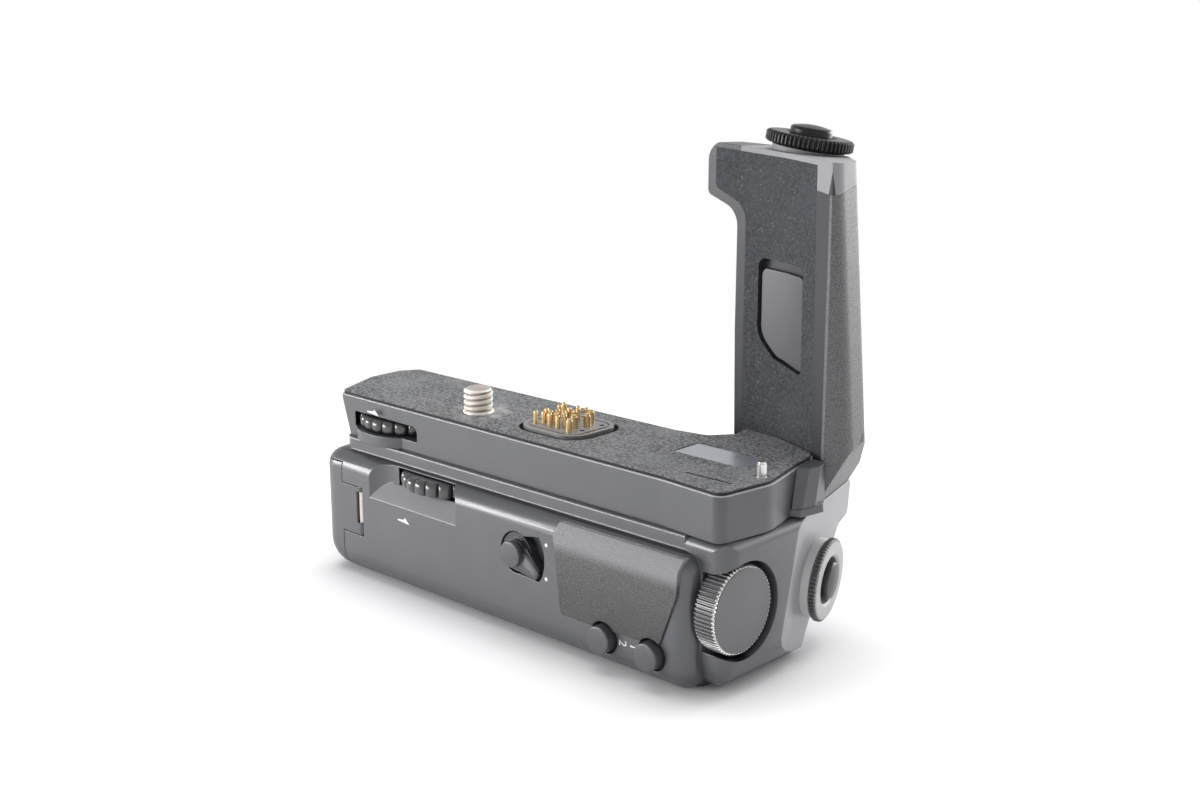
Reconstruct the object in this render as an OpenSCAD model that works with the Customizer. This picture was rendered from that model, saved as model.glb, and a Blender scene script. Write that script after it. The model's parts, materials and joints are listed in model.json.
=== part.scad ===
// Two-part battery grip for a mirrorless camera: a holder block with a rear
// dial, a lock lever and a battery door, and above it a shallow camera grip
// with a screw, a pin connector and a tall front handle.
// Origin: mouth of the tripod socket on the underside, on the screw axis.
// +X to the user's right, +Y to the front of the camera, +Z up. Millimetres.

/* [Holder block] */
// Left end of the holder block
holder_left = -39.6; // [-40.4:0.1:-39]
// Right end of the holder block
holder_right = 77.6; // [77:0.1:78.2]
// Rear wall of the holder block
holder_rear = -13.6; // [-14:0.1:-13.4]
// Height of the holder block, floor to the mating face
holder_height = 31; // [31:0.1:31.6]
// Front reach of the finger bulge at the right end
bulge_front = 41.4; // [40:0.2:43]

/* [Camera grip] */
// Thickness of the camera grip base with its sheet
base_height = 10; // [10:0.1:11]
// Thickness of the textured sheet on the base
sheet_thick = 0.8; // [0.5:0.1:1]
// Height of the handle top above the base sheet, at the dial
handle_rise = 56.8; // [54:0.2:60]
// Thickness of the leather skin on the handle
leather_thick = 0.9; // [0.6:0.1:1.2]

/* [Screw and pins] */
// Camera screw, outer radius (quarter inch)
screw_radius = 3.175; // [3.1:0.005:3.2]
// Camera screw, height above the sheet
screw_rise = 5.4; // [4.5:0.1:6.5]
// Thread pitch of the screws
thread_pitch = 1.27; // [1.2:0.01:1.3]
// Guide pin radius
guide_radius = 1; // [0.8:0.05:1.2]
// Guide pin height above the sheet
guide_rise = 2.9; // [2.6:0.1:3.6]
// Radius of a thin connector pin
pin_radius = 0.5; // [0.4:0.02:0.55]
// Radius of a thick connector pin
power_pin_radius = 0.8; // [0.6:0.05:0.9]

/* [Controls] */
// Radius of the rear dial on the right end
rear_dial_radius = 9; // [8.6:0.1:9.2]
// Radius of the front dial beside the portrait shutter button
portrait_dial_radius = 8.6; // [8.2:0.1:8.9]
// Radius of the dial on top of the handle
top_dial_radius = 8.9; // [8.4:0.1:9.2]
// Radius of the function buttons
function_radius = 2.9; // [2.4:0.1:3.2]
// Radius of the ribbed lock wheels
wheel_radius = 12.2; // [11.9:0.1:12.3]

/* [Battery] */
// Width of the battery chamber, front to rear
bay_width = 36.2; // [36:0.1:36.4]
// Wall between the chamber and the front of the holder block
front_wall = 1.8; // [1.6:0.1:2.4]
// Height of the battery chamber
bay_height = 15.8; // [15.5:0.1:16]
// Inner end of the battery chamber
bay_end = 15.4; // [15:0.1:15.8]

/* [Hidden] */
$fn = 48;
eps = 0.05;
base_z = holder_height;
sheet_top = base_z + base_height;
case_top = sheet_top - sheet_thick;
crown = sheet_top + handle_rise;
lip_rear = holder_rear + 4;
lip_left = holder_left + 4.6;
lip_z = holder_height - 3;
bay_z = 7.3;
bay_rear = holder_rear + 3.8;
holder_front = bay_rear + bay_width + front_wall;
seam_x = holder_left + 8.1;
door_gap = 0.1;
door_top = lip_z - 2.1;
hinge = [seam_x + 5.5, holder_rear + 1.25];
// the end block right of the step carries the rear dial
step_x = holder_right - 6.4;
dial_x = holder_right - 5.65;
dial_at = [-3.8, 16.8];
oblique_turn = 16;
oblique_dip = -3.5;
oblique_at = [holder_right, 10.4, 20.5];
portrait_at = [holder_right - 4.1, 23.5, 15.2];
lower_wheel = [-4.8, -2.6];
slot_low = lip_z - 4.2;
slot_top = lip_z - 0.4;
contact_low = holder_height - 6;
// wheel, idler and screw gear mesh in a triangle
wheel_at = [-24, 1.7];
gear_module = 0.8;
wheel_teeth = 22;
idler_teeth = 13;
screw_teeth = 14;
wheel_gap = gear_module * (wheel_teeth + idler_teeth) / 2;
screw_gap = gear_module * (screw_teeth + idler_teeth) / 2;
gear_line = norm(wheel_at);
gear_along = (screw_gap * screw_gap - wheel_gap * wheel_gap + gear_line * gear_line) / (2 * gear_line);
gear_aside = sqrt(screw_gap * screw_gap - gear_along * gear_along);
idler_at = (gear_along * wheel_at + gear_aside * [wheel_at[1], -wheel_at[0]]) / gear_line;
window_low = base_z + 2.5;
window_top = base_z + 5.9;
top_at = [59, 36.6];
cap_lift = 0.8;
lever_at = [25.4, 18.3];
fn_a = [62.5, 6.6];
fn_b = [50.1, 6.6];
handle_lean = 4;
lean_axis = [-0.65, 0.76, 0];
lean_from = [75, 30, sheet_top];

// Helpers
function unit(v) = v / norm(v);
function corner(a, b, c, r, n) = r <= 0 ? [[b[0], b[1]]] :
  let(u = unit([a[0] - b[0], a[1] - b[1]]), v = unit([c[0] - b[0], c[1] - b[1]]),
      h = acos(u * v) / 2, t = r / tan(h), q = [b[0], b[1]] + unit(u + v) * (r / sin(h)),
      s = [b[0], b[1]] + u * t, e = [b[0], b[1]] + v * t,
      a0 = atan2(s[1] - q[1], s[0] - q[0]), a1 = atan2(e[1] - q[1], e[0] - q[0]),
      d = ((a1 - a0 + 540) % 360) - 180)
  [for (k = [0:n]) [q[0] + r * cos(a0 + d * k / n), q[1] + r * sin(a0 + d * k / n)]];
// corner list [x, y, radius] to a rounded outline
function rounded(p, n = 6) = [for (i = [0:len(p) - 1])
  each corner(p[(i + len(p) - 1) % len(p)], p[i], p[(i + 1) % len(p)], p[i][2], n)];
// the same corner list moved inward by d (counter-clockwise lists)
function inset(p, d) = [for (i = [0:len(p) - 1])
  let(a = p[(i + len(p) - 1) % len(p)], b = p[i], c = p[(i + 1) % len(p)],
      u = unit([b[0] - a[0], b[1] - a[1]]), v = unit([c[0] - b[0], c[1] - b[1]]),
      nu = [-u[1], u[0]], nv = [-v[1], v[0]], s = d / (1 + nu * nv))
  [b[0] + s * (nu[0] + nv[0]), b[1] + s * (nu[1] + nv[1]), b[2] > 0 ? max(b[2] - d, 0.05) : 0]];
function inv(a) = tan(a) * 57.29578 - a;
// involute gear outline, n teeth, module m, bl degrees of play a side
function gear(n, m, bl) = let(rp = n * m / 2, rb = rp * cos(20), ra = rp + 0.8 * m,
  rr = rp - 1.05 * m, r0 = max(rb, rr) + 0.01)
  [for (t = [0:n - 1]) let(c = t * 360 / n, h0 = 90 / n - bl + inv(20) - inv(acos(rb / r0)))
    each concat([[rr * cos(c - h0), rr * sin(c - h0)]],
      [for (k = [0:3]) let(r = r0 + (ra - r0) * k / 3, h = 90 / n - bl + inv(20) - inv(acos(rb / r)))
        [r * cos(c - h), r * sin(c - h)]],
      [for (j = [0:3]) let(k = 3 - j, r = r0 + (ra - r0) * k / 3,
        h = 90 / n - bl + inv(20) - inv(acos(rb / r))) [r * cos(c + h), r * sin(c + h)]],
      [[rr * cos(c + h0), rr * sin(c + h0)]])];
// straight knurl, n teeth of depth d on radius r
function knurl(n, r, d) = [for (i = [0:n - 1]) each [
  [r * cos(360 * i / n), r * sin(360 * i / n)],
  [r * cos(360 * (i + 0.35) / n), r * sin(360 * (i + 0.35) / n)],
  [(r - d) * cos(360 * (i + 0.6) / n), (r - d) * sin(360 * (i + 0.6) / n)],
  [(r - d) * cos(360 * (i + 0.75) / n), (r - d) * sin(360 * (i + 0.75) / n)]]];
// round ribs, n ribs of depth d on radius r
function ribs(n, r, d) = [for (i = [0:n * 6 - 1]) let(a = 360 * i / (n * 6),
  q = r - d * (1 - abs(cos(a * n / 2)))) [q * cos(a), q * sin(a)]];

module along_x(x0, x1) { translate([x0, 0, 0]) rotate([90, 0, 90]) linear_extrude(x1 - x0) children(); }
module along_y(y0, y1) { translate([0, y1, 0]) rotate([90, 0, 0]) linear_extrude(y1 - y0) children(); }
module up(z0, z1) { translate([0, 0, z0]) linear_extrude(z1 - z0) children(); }
module box(a, b) { translate(a) cube(b - a); }
module rod(p, z0, z1, r) { translate([p[0], p[1], z0]) cylinder(h = z1 - z0, r = r); }
module rod_x(p, x0, x1, r) { translate([x0, p[0], p[1]]) rotate([0, 90, 0]) cylinder(h = x1 - x0, r = r); }
module rod_y(p, y0, y1, r) { translate([p[0], y1, p[1]]) rotate([90, 0, 0]) cylinder(h = y1 - y0, r = r); }
module on_oblique() {
  translate(portrait_at) rotate([0, 90 - oblique_dip, oblique_turn]) children();
}
module on_top() {
  translate([top_at[0], top_at[1], crown]) rotate([0, 9.1, 41.5]) children();
}
// screw with ring grooves: core, crests at the thread pitch, pointed end
module threaded(r, z0, z1) {
  n = floor((z1 - z0 - 0.6) / thread_pitch);
  rotate_extrude() polygon(concat([[0, z0], [r - 0.55, z0]],
    [for (i = [0:n - 1]) each [
      [r - 0.55, z0 + 0.25 + i * thread_pitch], [r, z0 + 0.62 + i * thread_pitch],
      [r, z0 + 0.82 + i * thread_pitch], [r - 0.55, z0 + 1.2 + i * thread_pitch]]],
    [[r - 0.55, z1 - 0.3], [r - 0.9, z1], [0, z1]]));
}

// Outer form of the holder block
side_pts = [[lip_rear, holder_height, 0.5], [lip_rear, lip_z, 0.3], [holder_rear, lip_z, 3.6],
  [holder_rear, 0, 5.5], [holder_front, 0, 5], [holder_front, holder_height, 1.2]];
end_pts = [[lip_left, holder_height, 0.5], [lip_left, lip_z, 0.4], [holder_left, lip_z, 4],
  [holder_left, 0, 9], [step_x, 0, 4], [step_x, holder_height, 0]];
plan_pts = [[holder_left, holder_rear, 5.3], [step_x, holder_rear, 3.9],
  [step_x, holder_front, 0], [holder_left, holder_front, 5]];
block_side = [[lip_rear, holder_height, 2], [lip_rear, 0, 7], [holder_front, 0, 5], [holder_front, holder_height, 1.2]];
block_end = [[40, holder_height, 0], [40, 0, 0], [holder_right, 0, 8], [holder_right, holder_height, 2.2]];
block_plan = [[40, lip_rear, 0], [holder_right, lip_rear, 4], [holder_right, holder_front, 0], [40, holder_front, 0]];
bulge_plan = [[44, 20, 0], [holder_right, 20, 0], [holder_right, bulge_front, 0.6],
  [55, bulge_front, 6], [49, 29, 3], [44, 27.6, 0]];
bulge_side = [[10, 0, 0], [19, 0, 3], [23, 6.1, 0], [34.6, 20.8, 2], [36.2, 22.6, 1],
  [bulge_front, 23.4, 1.6], [bulge_front, holder_height, 1.2], [10, holder_height, 0]];

// the wall of a rounded corner seen along its own radius
function corner_wall(r, low, ledge) = ledge > 0 ?
  [[-90, 0, 0], [r, 0, low], [r, lip_z, ledge - 0.5], [r - ledge, lip_z, 0.3], [r - ledge, 60, 0], [-90, 60, 0]] :
  [[-90, 0, 0], [r, 0, low], [r, 60, 0], [-90, 60, 0]];
// rounds the ends of a vertical corner like a ball, one cut for each facet of its plan
module ball_corner(c, r, turn, low, ledge, top) {
  for (k = [0:5]) translate([c[0], c[1], 0]) rotate(turn + 15 * k + 7.5) along_y(-60, 60) difference() {
    translate([-60, -1]) square([r + 90, top + 1]);
    polygon(rounded(corner_wall(r * cos(7.5), low[0] + (low[1] - low[0]) * (k + 0.5) / 6,
      ledge[0] + (ledge[1] - ledge[0]) * (k + 0.5) / 6)));
  }
}
module oblique_cut() {
  translate(oblique_at) rotate([0, 90 - oblique_dip, oblique_turn])
    translate([-60, -60, 0]) cube([120, 120, 60]);
}
module holder_form() {
  difference() {
    union() {
      difference() {
        intersection() {
          up(0, holder_height) polygon(rounded(plan_pts));
          along_x(-60, 100) polygon(rounded(side_pts));
          along_y(-40, 60) polygon(rounded(end_pts));
        }
        ball_corner([holder_left + 5.3, holder_rear + 5.3], 5.3, 180, [9, 5.5], [4.6, 4], 40);
        ball_corner([step_x - 3.9, holder_rear + 3.9], 3.9, 270, [5.5, 4], [4, 4], 40);
        ball_corner([holder_left + 5, holder_front - 5], 5, 90, [5, 9], [0, 0], 16);
        // corner of the raised lip
        up(lip_z, holder_height + 1) difference() {
          translate([lip_left - 1, lip_rear - 1]) square([3.4, 3.4]);
          translate([lip_left + 2.4, lip_rear + 2.4]) circle(r = 2.4);
        }
      }
      difference() {
        intersection() {
          up(0, holder_height) polygon(rounded(block_plan));
          along_x(60, 100) polygon(rounded(block_side));
          along_y(-40, 60) polygon(rounded(block_end));
        }
        ball_corner([holder_right - 4, lip_rear + 4], 4, 270, [7, 8], [0, 0], 16);
      }
      intersection() {
        up(0, holder_height) polygon(rounded(bulge_plan));
        along_x(-60, 100) polygon(rounded(bulge_side));
      }
    }
    oblique_cut();
    along_x(48, 90) polygon([[19, -1], [19, 0], [23, 6.1], [31.5, 17], [50, 17], [50, -1]]);
  }
}

// Parts of the holder block
thumb_face = [[38.4, 8.6, 1], [46.8, 8.5, 0], [64.6, 9, 2], [68.8, 20, 4], [69.2, 25, 0],
  [70, 28.6, 0.5], [37.6, 28.6, 0.5], [36.4, 25, 2]];
module thumb_skin(out, in) {
  intersection() {
    along_x(30, 75) difference() {
      polygon(rounded(inset(side_pts, -out)));
      polygon(rounded(inset(side_pts, in)));
    }
    along_y(-20, -9.2) difference() {
      polygon(rounded(thumb_face));
      for (p = [fn_a, fn_b]) translate(p) circle(r = function_radius + 0.6);
    }
    box([30, -20, 8], [75, -9, lip_z - 0.6]);
  }
}
module finger_skin(out, in) {
  intersection() {
    along_x(56, 68) difference() {
      polygon(rounded(inset(bulge_side, -out)));
      polygon(rounded(inset(bulge_side, in)));
    }
    box([50, 24, 5], [70, 50, 27]);
  }
}
module scoop() {
  intersection() {
    up(lip_z - 13, lip_z + 0.4) union() {
      polygon([[-14, -10.9], [4.2, -10.9], [9.5, -16.2], [-14, -16.2]]);
      difference() {
        translate([-14, -23.5]) circle(r = 12.6);
        translate([-14, -40]) square([30, 40]);
      }
    }
    along_x(-40, 12) polygon([[holder_rear, slot_low - 4.1], [-11.2, slot_low], [-10, slot_low], [-10, 40],
      [-30, 40], [-30, slot_low - 4.1]]);
  }
}
module lever_recess() {
  along_y(-14, -11.4) translate(lever_at) union() {
    circle(r = 4.5);
    polygon(concat([[0.6, -4.4], [0, 0], [-3.4, 2.9]], [for (a = [36:-8:-36]) [8.2 * cos(a), 8.2 * sin(a)]]));
  }
}
screw_spots = [[-27, 0], [-27, 18], [16.8, -4], [16.8, 18.6], [66, -4.6], [65.4, 8]];
module holder_case() {
  color([0.17, 0.17, 0.18]) difference() {
    holder_form();
    // room for the battery door
    box([holder_left - 2, holder_rear - 2, -1], [seam_x + door_gap, holder_front + 2, door_top + door_gap]);
    // battery chamber
    box([seam_x - 1, bay_rear, bay_z], [bay_end, bay_rear + bay_width, bay_z + bay_height]);
    // hinge knuckle pocket
    box([seam_x - 1, holder_rear - 1, 9.7], [hinge[0] + 1.7, hinge[1] + 1.6, 21.3]);
    // hinge pin bore
    rod(hinge, 7.4, 23.6, 0.8);
    // lower lock wheel, its slot and its neck
    scoop();
    rod(lower_wheel, slot_low, slot_top, wheel_radius + 0.5);
    rod(lower_wheel, slot_top - 0.1, holder_height + 1, 4.56);
    // top plate pocket
    up(holder_height - 1.6, holder_height + 1) polygon(rounded(top_plate_pts));
    // bottom cover pocket and board room
    up(-1, 1.6) polygon(rounded(cover_pts));
    box([18, -6.4, 1.5], [62, 20, contact_low - 2]);
    // tripod socket
    rod([0, 0], 1, 6.5, 4.5);
    // cover screws
    for (p = screw_spots) rod(p, 1.5, 5.5, 0.7);
    // skins
    thumb_skin(1, 0.5);
    finger_skin(1, 0.5);
    // rear dial room and its axle bore
    rod_x(dial_at, dial_x - 0.35, holder_right + 3, rear_dial_radius + 0.9);
    rod_x(dial_at, dial_x - 5.95, dial_x, 1.56);
    // lock lever
    lever_recess();
    rod_y(lever_at, -12, -7.6, 1.56);
    // function buttons
    for (p = [fn_a, fn_b]) {
      rod_y(p, -16, -8.5, function_radius + 0.6);
      rod_y(p, -11, -8.4, function_radius + 1.5);
    }
    // portrait dial neck and shutter
    on_oblique() translate([0, 0, -7]) cylinder(h = 9, r = 5.56);
    // contact block on the mating face
    box([32, -2, contact_low], [46, 8, holder_height + 1]);
    // jack cover seat on the front wall
    box([-20, holder_front - 1.2, 9], [-6, holder_front + 1, 19]);
  }
}
top_plate_pts = [[lip_left + 1.6, lip_rear + 1.6, 3], [holder_right - 3.6, lip_rear + 1.6, 2], [holder_right - 3.6, 10, 1],
  [69, holder_front - 1.4, 1], [lip_left + 1.6, holder_front - 1.4, 3]];
cover_pts = [[-30.4, -8, 2], [70, -8, 3], [70, 9, 3], [64, 17.6, 2], [44, 17.6, 2], [38, 22, 2], [-30.4, 22, 2]];
module holder_top_plate() {
  color([0.15, 0.15, 0.16]) difference() {
    up(holder_height - 1.6, holder_height) polygon(rounded(top_plate_pts));
    rod(lower_wheel, 0, 50, 4.9);
    box([32, -2, contact_low], [46, 8, holder_height + 1]);
    // shallow finger grooves beside the block
    for (x = [50, 54, 58]) box([x, 0, holder_height - 0.4], [x + 1.5, 18, holder_height + 1]);
  }
}
module holder_bottom_cover() {
  color([0.13, 0.13, 0.14]) difference() {
    up(0, 1.6) polygon(rounded(inset(cover_pts, 0.1)));
    rod([0, 0], -1, 3, 5.2);
    for (p = screw_spots) rod(p, -1, 3, 1);
    for (p = screw_spots) rod(p, -1, 0.9, 1.9);
  }
}
module bottom_screws() {
  color([0.3, 0.3, 0.31]) for (p = screw_spots) difference() {
    union() {
      rod(p, 0.15, 0.9, 1.6);
      rod(p, 0.8, 5.4, 0.7);
    }
    box([p[0] - 1.1, p[1] - 0.2, -0.2], [p[0] + 1.1, p[1] + 0.2, 0.5]);
    box([p[0] - 0.2, p[1] - 1.1, -0.2], [p[0] + 0.2, p[1] + 1.1, 0.5]);
  }
}
module tripod_insert() {
  color([0.7, 0.7, 0.7]) difference() {
    union() {
      rod([0, 0], 0, 1.1, 5);
      rod([0, 0], 1, 6.5, 4.5);
    }
    rod([0, 0], -1, 5.6, screw_radius);
  }
}
module thumb_rest() { color([0.12, 0.12, 0.12]) thumb_skin(0.4, 0.5); }
module finger_leather() { color([0.12, 0.12, 0.12]) finger_skin(0.4, 0.5); }
module holder_contact_block() {
  color([0.1, 0.1, 0.1]) difference() {
    box([32, -2, contact_low], [46, 8, holder_height - 0.6]);
    for (p = pad_grid) rod(p, contact_low + 1, holder_height + 1, 0.55);
  }
}
module holder_contact_pins() {
  color([0.85, 0.65, 0.25]) for (p = pad_grid) rod(p, contact_low + 1, holder_height, 0.55);
}
module main_board() {
  color([0.1, 0.35, 0.18]) union() {
    box([19, -5.4, 12], [61, 19, 13.2]);
    box([24, 0, 13.1], [34, 8, 15]);
    box([40, 4, 13.1], [52, 14, 14.4]);
    box([38, -5.4, 13.1], [46, -3.4, 16]);
    // standoffs down to the bottom cover
    for (p = [[22, -3], [58, -3], [22, 16.5], [58, 14.5]]) rod(p, 1.6, 12.1, 1.6);
    // post up to the room's ceiling, under the connector block
    box([36, 1, 13.1], [38.6, 4, contact_low - 2]);
  }
}
module battery_contacts() {
  color([0.8, 0.6, 0.3]) for (y = [4, 9, 14]) union() {
    box([bay_end - 0.8, y, 12], [bay_end, y + 3, 19]);
    box([bay_end - 1.6, y + 0.6, 14], [bay_end - 0.7, y + 2.4, 17]);
  }
}
module hinge_pin() { color([0.75, 0.72, 0.68]) rod(hinge, 7.4, 23.5, 0.8); }
module jack_cover() {
  color([0.1, 0.1, 0.1]) union() {
    box([-20, holder_front - 1.2, 9], [-6, holder_front, 19]);
    box([-8, holder_front - 0.1, 12], [-6.6, holder_front + 0.6, 16]);
  }
}

// Dials, lever, buttons and door of the holder block
module rear_dial() {
  color([0.25, 0.25, 0.26]) difference() {
    translate([dial_x, dial_at[0], dial_at[1]]) rotate([90, 0, 90]) linear_extrude(4.85)
      polygon(knurl(60, rear_dial_radius, 0.45));
    rod_x(dial_at, dial_x - 1, dial_x + 2.05, 1.5);
    rod_x(dial_at, dial_x + 4.15, dial_x + 8, rear_dial_radius - 0.9);
  }
}
module rear_dial_cap() {
  color([0.2, 0.2, 0.21]) rod_x(dial_at, dial_x + 4.15, dial_x + 4.95, rear_dial_radius - 0.9);
}
module rear_dial_axle() { color([0.6, 0.6, 0.6]) rod_x(dial_at, dial_x - 5.65, dial_x + 2.05, 1.5); }
module lock_lever() {
  color([0.2, 0.2, 0.21]) union() {
    rod_y(lever_at, -13.3, -11.7, 4.2);
    rod_y(lever_at, -14.2, -11.8, 3);
    rod_y(lever_at, -11.8, -8, 1.5);
    along_y(-14.2, -11.7) translate(lever_at) rotate(-29)
      polygon([[0, -3.4], [7.3, -1.1], [7.7, 0], [7.3, 1.1], [0, 3.4]]);
  }
}
module lever_knob() {
  color([0.22, 0.22, 0.23]) union() {
    rod_y(lever_at, -15.7, -14.3, 2.8);
    rod_y(lever_at, -14.4, -14.2, 2.4);
  }
}
module function_button(p) {
  rod_y(p, -15.8, -10.6, function_radius);
  rod_y(p, -10.7, -9.9, function_radius + 1.1);
}
module function_button_1() { color([0.2, 0.2, 0.21]) function_button(fn_a); }
module function_button_2() { color([0.2, 0.2, 0.21]) function_button(fn_b); }
module portrait_dial() {
  color([0.15, 0.15, 0.16]) on_oblique() difference() {
    union() {
      translate([0, 0, 1.3]) linear_extrude(2.2) polygon(knurl(56, portrait_dial_radius, 0.4));
      translate([0, 0, -6]) cylinder(h = 7.4, r = 5.5);
    }
    translate([0, 0, -7]) cylinder(h = 12, r = 4.8);
  }
}
// a push button with a domed top at height h
module domed(r, z, h) {
  rotate_extrude() polygon([[0, z], [r, z], [r, h - 0.9], [r * 0.96, h - 0.6], [r * 0.8, h - 0.28],
    [r * 0.5, h - 0.08], [0, h]]);
}
module portrait_shutter() {
  color([0.15, 0.15, 0.16]) on_oblique() union() {
    domed(3.8, -5.6, 4.6);
    translate([0, 0, -5.6]) cylinder(h = 1.2, r = 4.5);
  }
}
module holder_lock_wheel() {
  color([0.15, 0.15, 0.16]) difference() {
    translate([lower_wheel[0], lower_wheel[1], slot_low + 0.3]) linear_extrude(3.2)
      polygon(ribs(22, wheel_radius, 0.8));
    rod(lower_wheel, slot_low, slot_low + 5, 3.1);
  }
}
module holder_screw() {
  color([0.7, 0.68, 0.64]) union() {
    rod(lower_wheel, slot_low + 0.2, slot_low + 3.6, 3.1);
    rod(lower_wheel, slot_low + 3.55, holder_height - 2.4, 4.5);
    translate([lower_wheel[0], lower_wheel[1], 0]) threaded(3.1, holder_height - 2.4, holder_height + 4.4);
  }
}
module battery_door() {
  color([0.17, 0.17, 0.18]) difference() {
    union() {
      intersection() {
        holder_form();
        box([holder_left - 2, holder_rear - 2, -1], [seam_x - door_gap, holder_front + 2, door_top - door_gap]);
      }
      box([seam_x - 0.5, holder_rear, 9.9], [hinge[0], hinge[1] + 1.25, 21.1]);
      rod(hinge, 9.9, 21.1, 1.25);
    }
    rod(hinge, 9, 22, 0.86);
    // slit that shows the pin
    box([hinge[0] - 0.5, holder_rear - 1, 12.6], [hinge[0] + 2, hinge[1] - 0.3, 20]);
    // room for the end of the battery
    box([holder_left + 2.2, bay_rear, bay_z], [seam_x + 1, bay_rear + bay_width, bay_z + bay_height]);
    // latch seat
    box([holder_left - 1, 13.4, 11.3], [holder_left + 1.3, 24.6, 18.7]);
  }
}
module door_seal() {
  color([0.08, 0.08, 0.08]) difference() {
    box([holder_left + 2.2, bay_rear + 2, bay_z + 1.5], [holder_left + 2.8, bay_rear + bay_width - 2, bay_z + bay_height - 1.5]);
    box([holder_left + 1, 0, 11], [holder_left + 4, 16, 19]);
  }
}
module door_latch() {
  color([0.2, 0.2, 0.21]) union() {
    box([holder_left - 0.1, 17, 11.6], [holder_left + 1.25, 24.3, 18.4]);
    for (y = [18, 19.6, 21.2, 22.8]) box([holder_left - 0.4, y, 12.2], [holder_left, y + 0.7, 17.8]);
  }
}

// Base of the camera grip
inner_curve = [[71.9, 24], [66.1, 26.2], [60.6, 28.1], [53, 29.2]];
base_pts = concat([[-37.2, -8.5, 1.4], [60, -8.5, 30], [75.6, -9.7, 2.4], [77.4, 3.6, 8], [74.4, 15.6, 1.6],
  [73.6, 21.4, 0.5]], [for (p = inner_curve) [p[0], p[1], 0]],
  [[50.4, 29.2, 1], [51.8, 24.3, 1.5], [48.2, 19.8, 2.5], [41, 18.5, 8], [-32, 17.4, 3],
  [-39.4, 17.4, 1.6], [-42.2, 12.8, 2], [-42.2, 4, 3]]);
floor_pts = [[-32.2, -6.8, 1], [70, -6.8, 2], [73, 3, 3], [70.6, 16, 2], [-34, 15.8, 1.5],
  [-36, 12, 2], [-36, 2.6, 2]];
floor_spots = [[-33, 13], [8, 14], [38, -4.6], [38, 14], [67, 12]];
rim_pts = [[14.3, -3, 4.6], [31.8, -3, 4.6], [31.8, 11.9, 4.6], [14.3, 11.9, 4.6]];
core_pts = [[15.9, -1.5, 2.6], [30.2, -1.5, 2.6], [30.2, 10.4, 2.6], [15.9, 10.4, 2.6]];
label_pts = [[50.9, 6, 0.3], [68.3, 6, 0.3], [68.3, 13.7, 0.3], [50.9, 13.7, 0.3]];
pad_grid = [for (i = [0:5]) for (j = [0:2]) [34 + i * 2, 0 + j * 3]];
small_pins = [[17.5, 0.2], [19, 1.1], [17.7, 3.3], [21.1, 0.8], [19.7, 2.6], [20.2, 4.1], [21.7, 2.2],
  [23.5, 0.7], [22.9, 3.4], [17.7, 7.2], [17.1, 9.2], [24.2, 2.1], [22, 5], [20.9, 6.9], [23.2, 6.1],
  [22.4, 8], [21.2, 9.3], [23.6, 9.4]];
big_pins = [[27.3, 0.3], [25.8, 3.2], [27.1, 5.9], [25.6, 8.6]];
guide_at = [74.2, 4.4];
module base_form() {
  difference() {
    up(base_z, case_top) polygon(rounded(base_pts));
    // undercut left end
    translate([-37.2, -8.5, sheet_top]) rotate([0, 0, 111.6]) rotate([-16, 0, 0])
      translate([-30, 0, -40]) cube([60, 20, 60]);
    translate([-42.2, 0, sheet_top]) rotate([0, -16, 0]) translate([-20, -30, -40]) cube([20, 60, 60]);
  }
  // round ledge that guards the lock wheel from below
  intersection() {
    rod(wheel_at, base_z, window_low, wheel_radius + 0.8);
    box([-60, -20, base_z], [0, -6, window_low]);
  }
}
module grip_base_case() {
  color([0.17, 0.17, 0.18]) difference() {
    base_form();
    // wheel room, its rear window and the room of its gear
    rod(wheel_at, window_low, window_top, wheel_radius + 0.8);
    along_y(-12, -6) polygon(rounded([[-32.3, window_low, 0], [-10.9, window_low, 0.3],
      [-10.9, window_top, 1.6], [-32.3, window_top, 0.4]]));
    rod(wheel_at, window_top - 0.1, base_z + 8, gear_module * wheel_teeth / 2 + 1.2);
    // gear room
    difference() {
      up(base_z + 1.1, base_z + 8) polygon(rounded([[-3.4, -6.9, 0.5], [13.4, -6.9, 1], [13.4, 12, 1], [-3.4, 12, 1]]));
      rod(lower_wheel, base_z, base_z + 5.1, 5.4);
    }
    rod(idler_at, base_z + 5.5, base_z + 8, gear_module * idler_teeth / 2 + 1.2);
    rod([0, 0], base_z + 5.1, base_z + 8, gear_module * screw_teeth / 2 + 1.3);
    // socket insert
    rod(lower_wheel, base_z - 1, base_z + 5, 4.2);
    // wheel post and idler stud
    rod(wheel_at, base_z, case_top - 0.4, 2);
    rod(idler_at, base_z + 5, case_top - 0.4, 1.3);
    // screw and pin holes
    rod([0, 0], base_z + 5, sheet_top, 3.06);
    rod(guide_at, sheet_top - 4, sheet_top, guide_radius + 0.3);
    for (p = [[11.4, -4.6], [11.4, 9.6], [-1.4, 9.6]]) rod(p, base_z + 5, base_z + 8.5, 0.7);
    // connector body
    up(base_z + 5.5, sheet_top) polygon(rounded(core_pts));
    // floor
    up(base_z - 1, base_z + 1.2) polygon(rounded(floor_pts));
    for (p = floor_spots) rod(p, base_z, base_z + 5, 0.7);
    // bottom contact pads
    box([32.5, -1.5, base_z - 1], [45.5, 7.5, base_z + 3]);
  }
  // posts for the bearing plate
  color([0.17, 0.17, 0.18]) for (p = [[11.4, -4.6], [11.4, 9.6], [-1.4, 9.6]]) difference() {
    rod(p, base_z + 5.9, base_z + 8, 1.7);
    rod(p, base_z + 5, base_z + 8.5, 0.7);
  }
}
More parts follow.
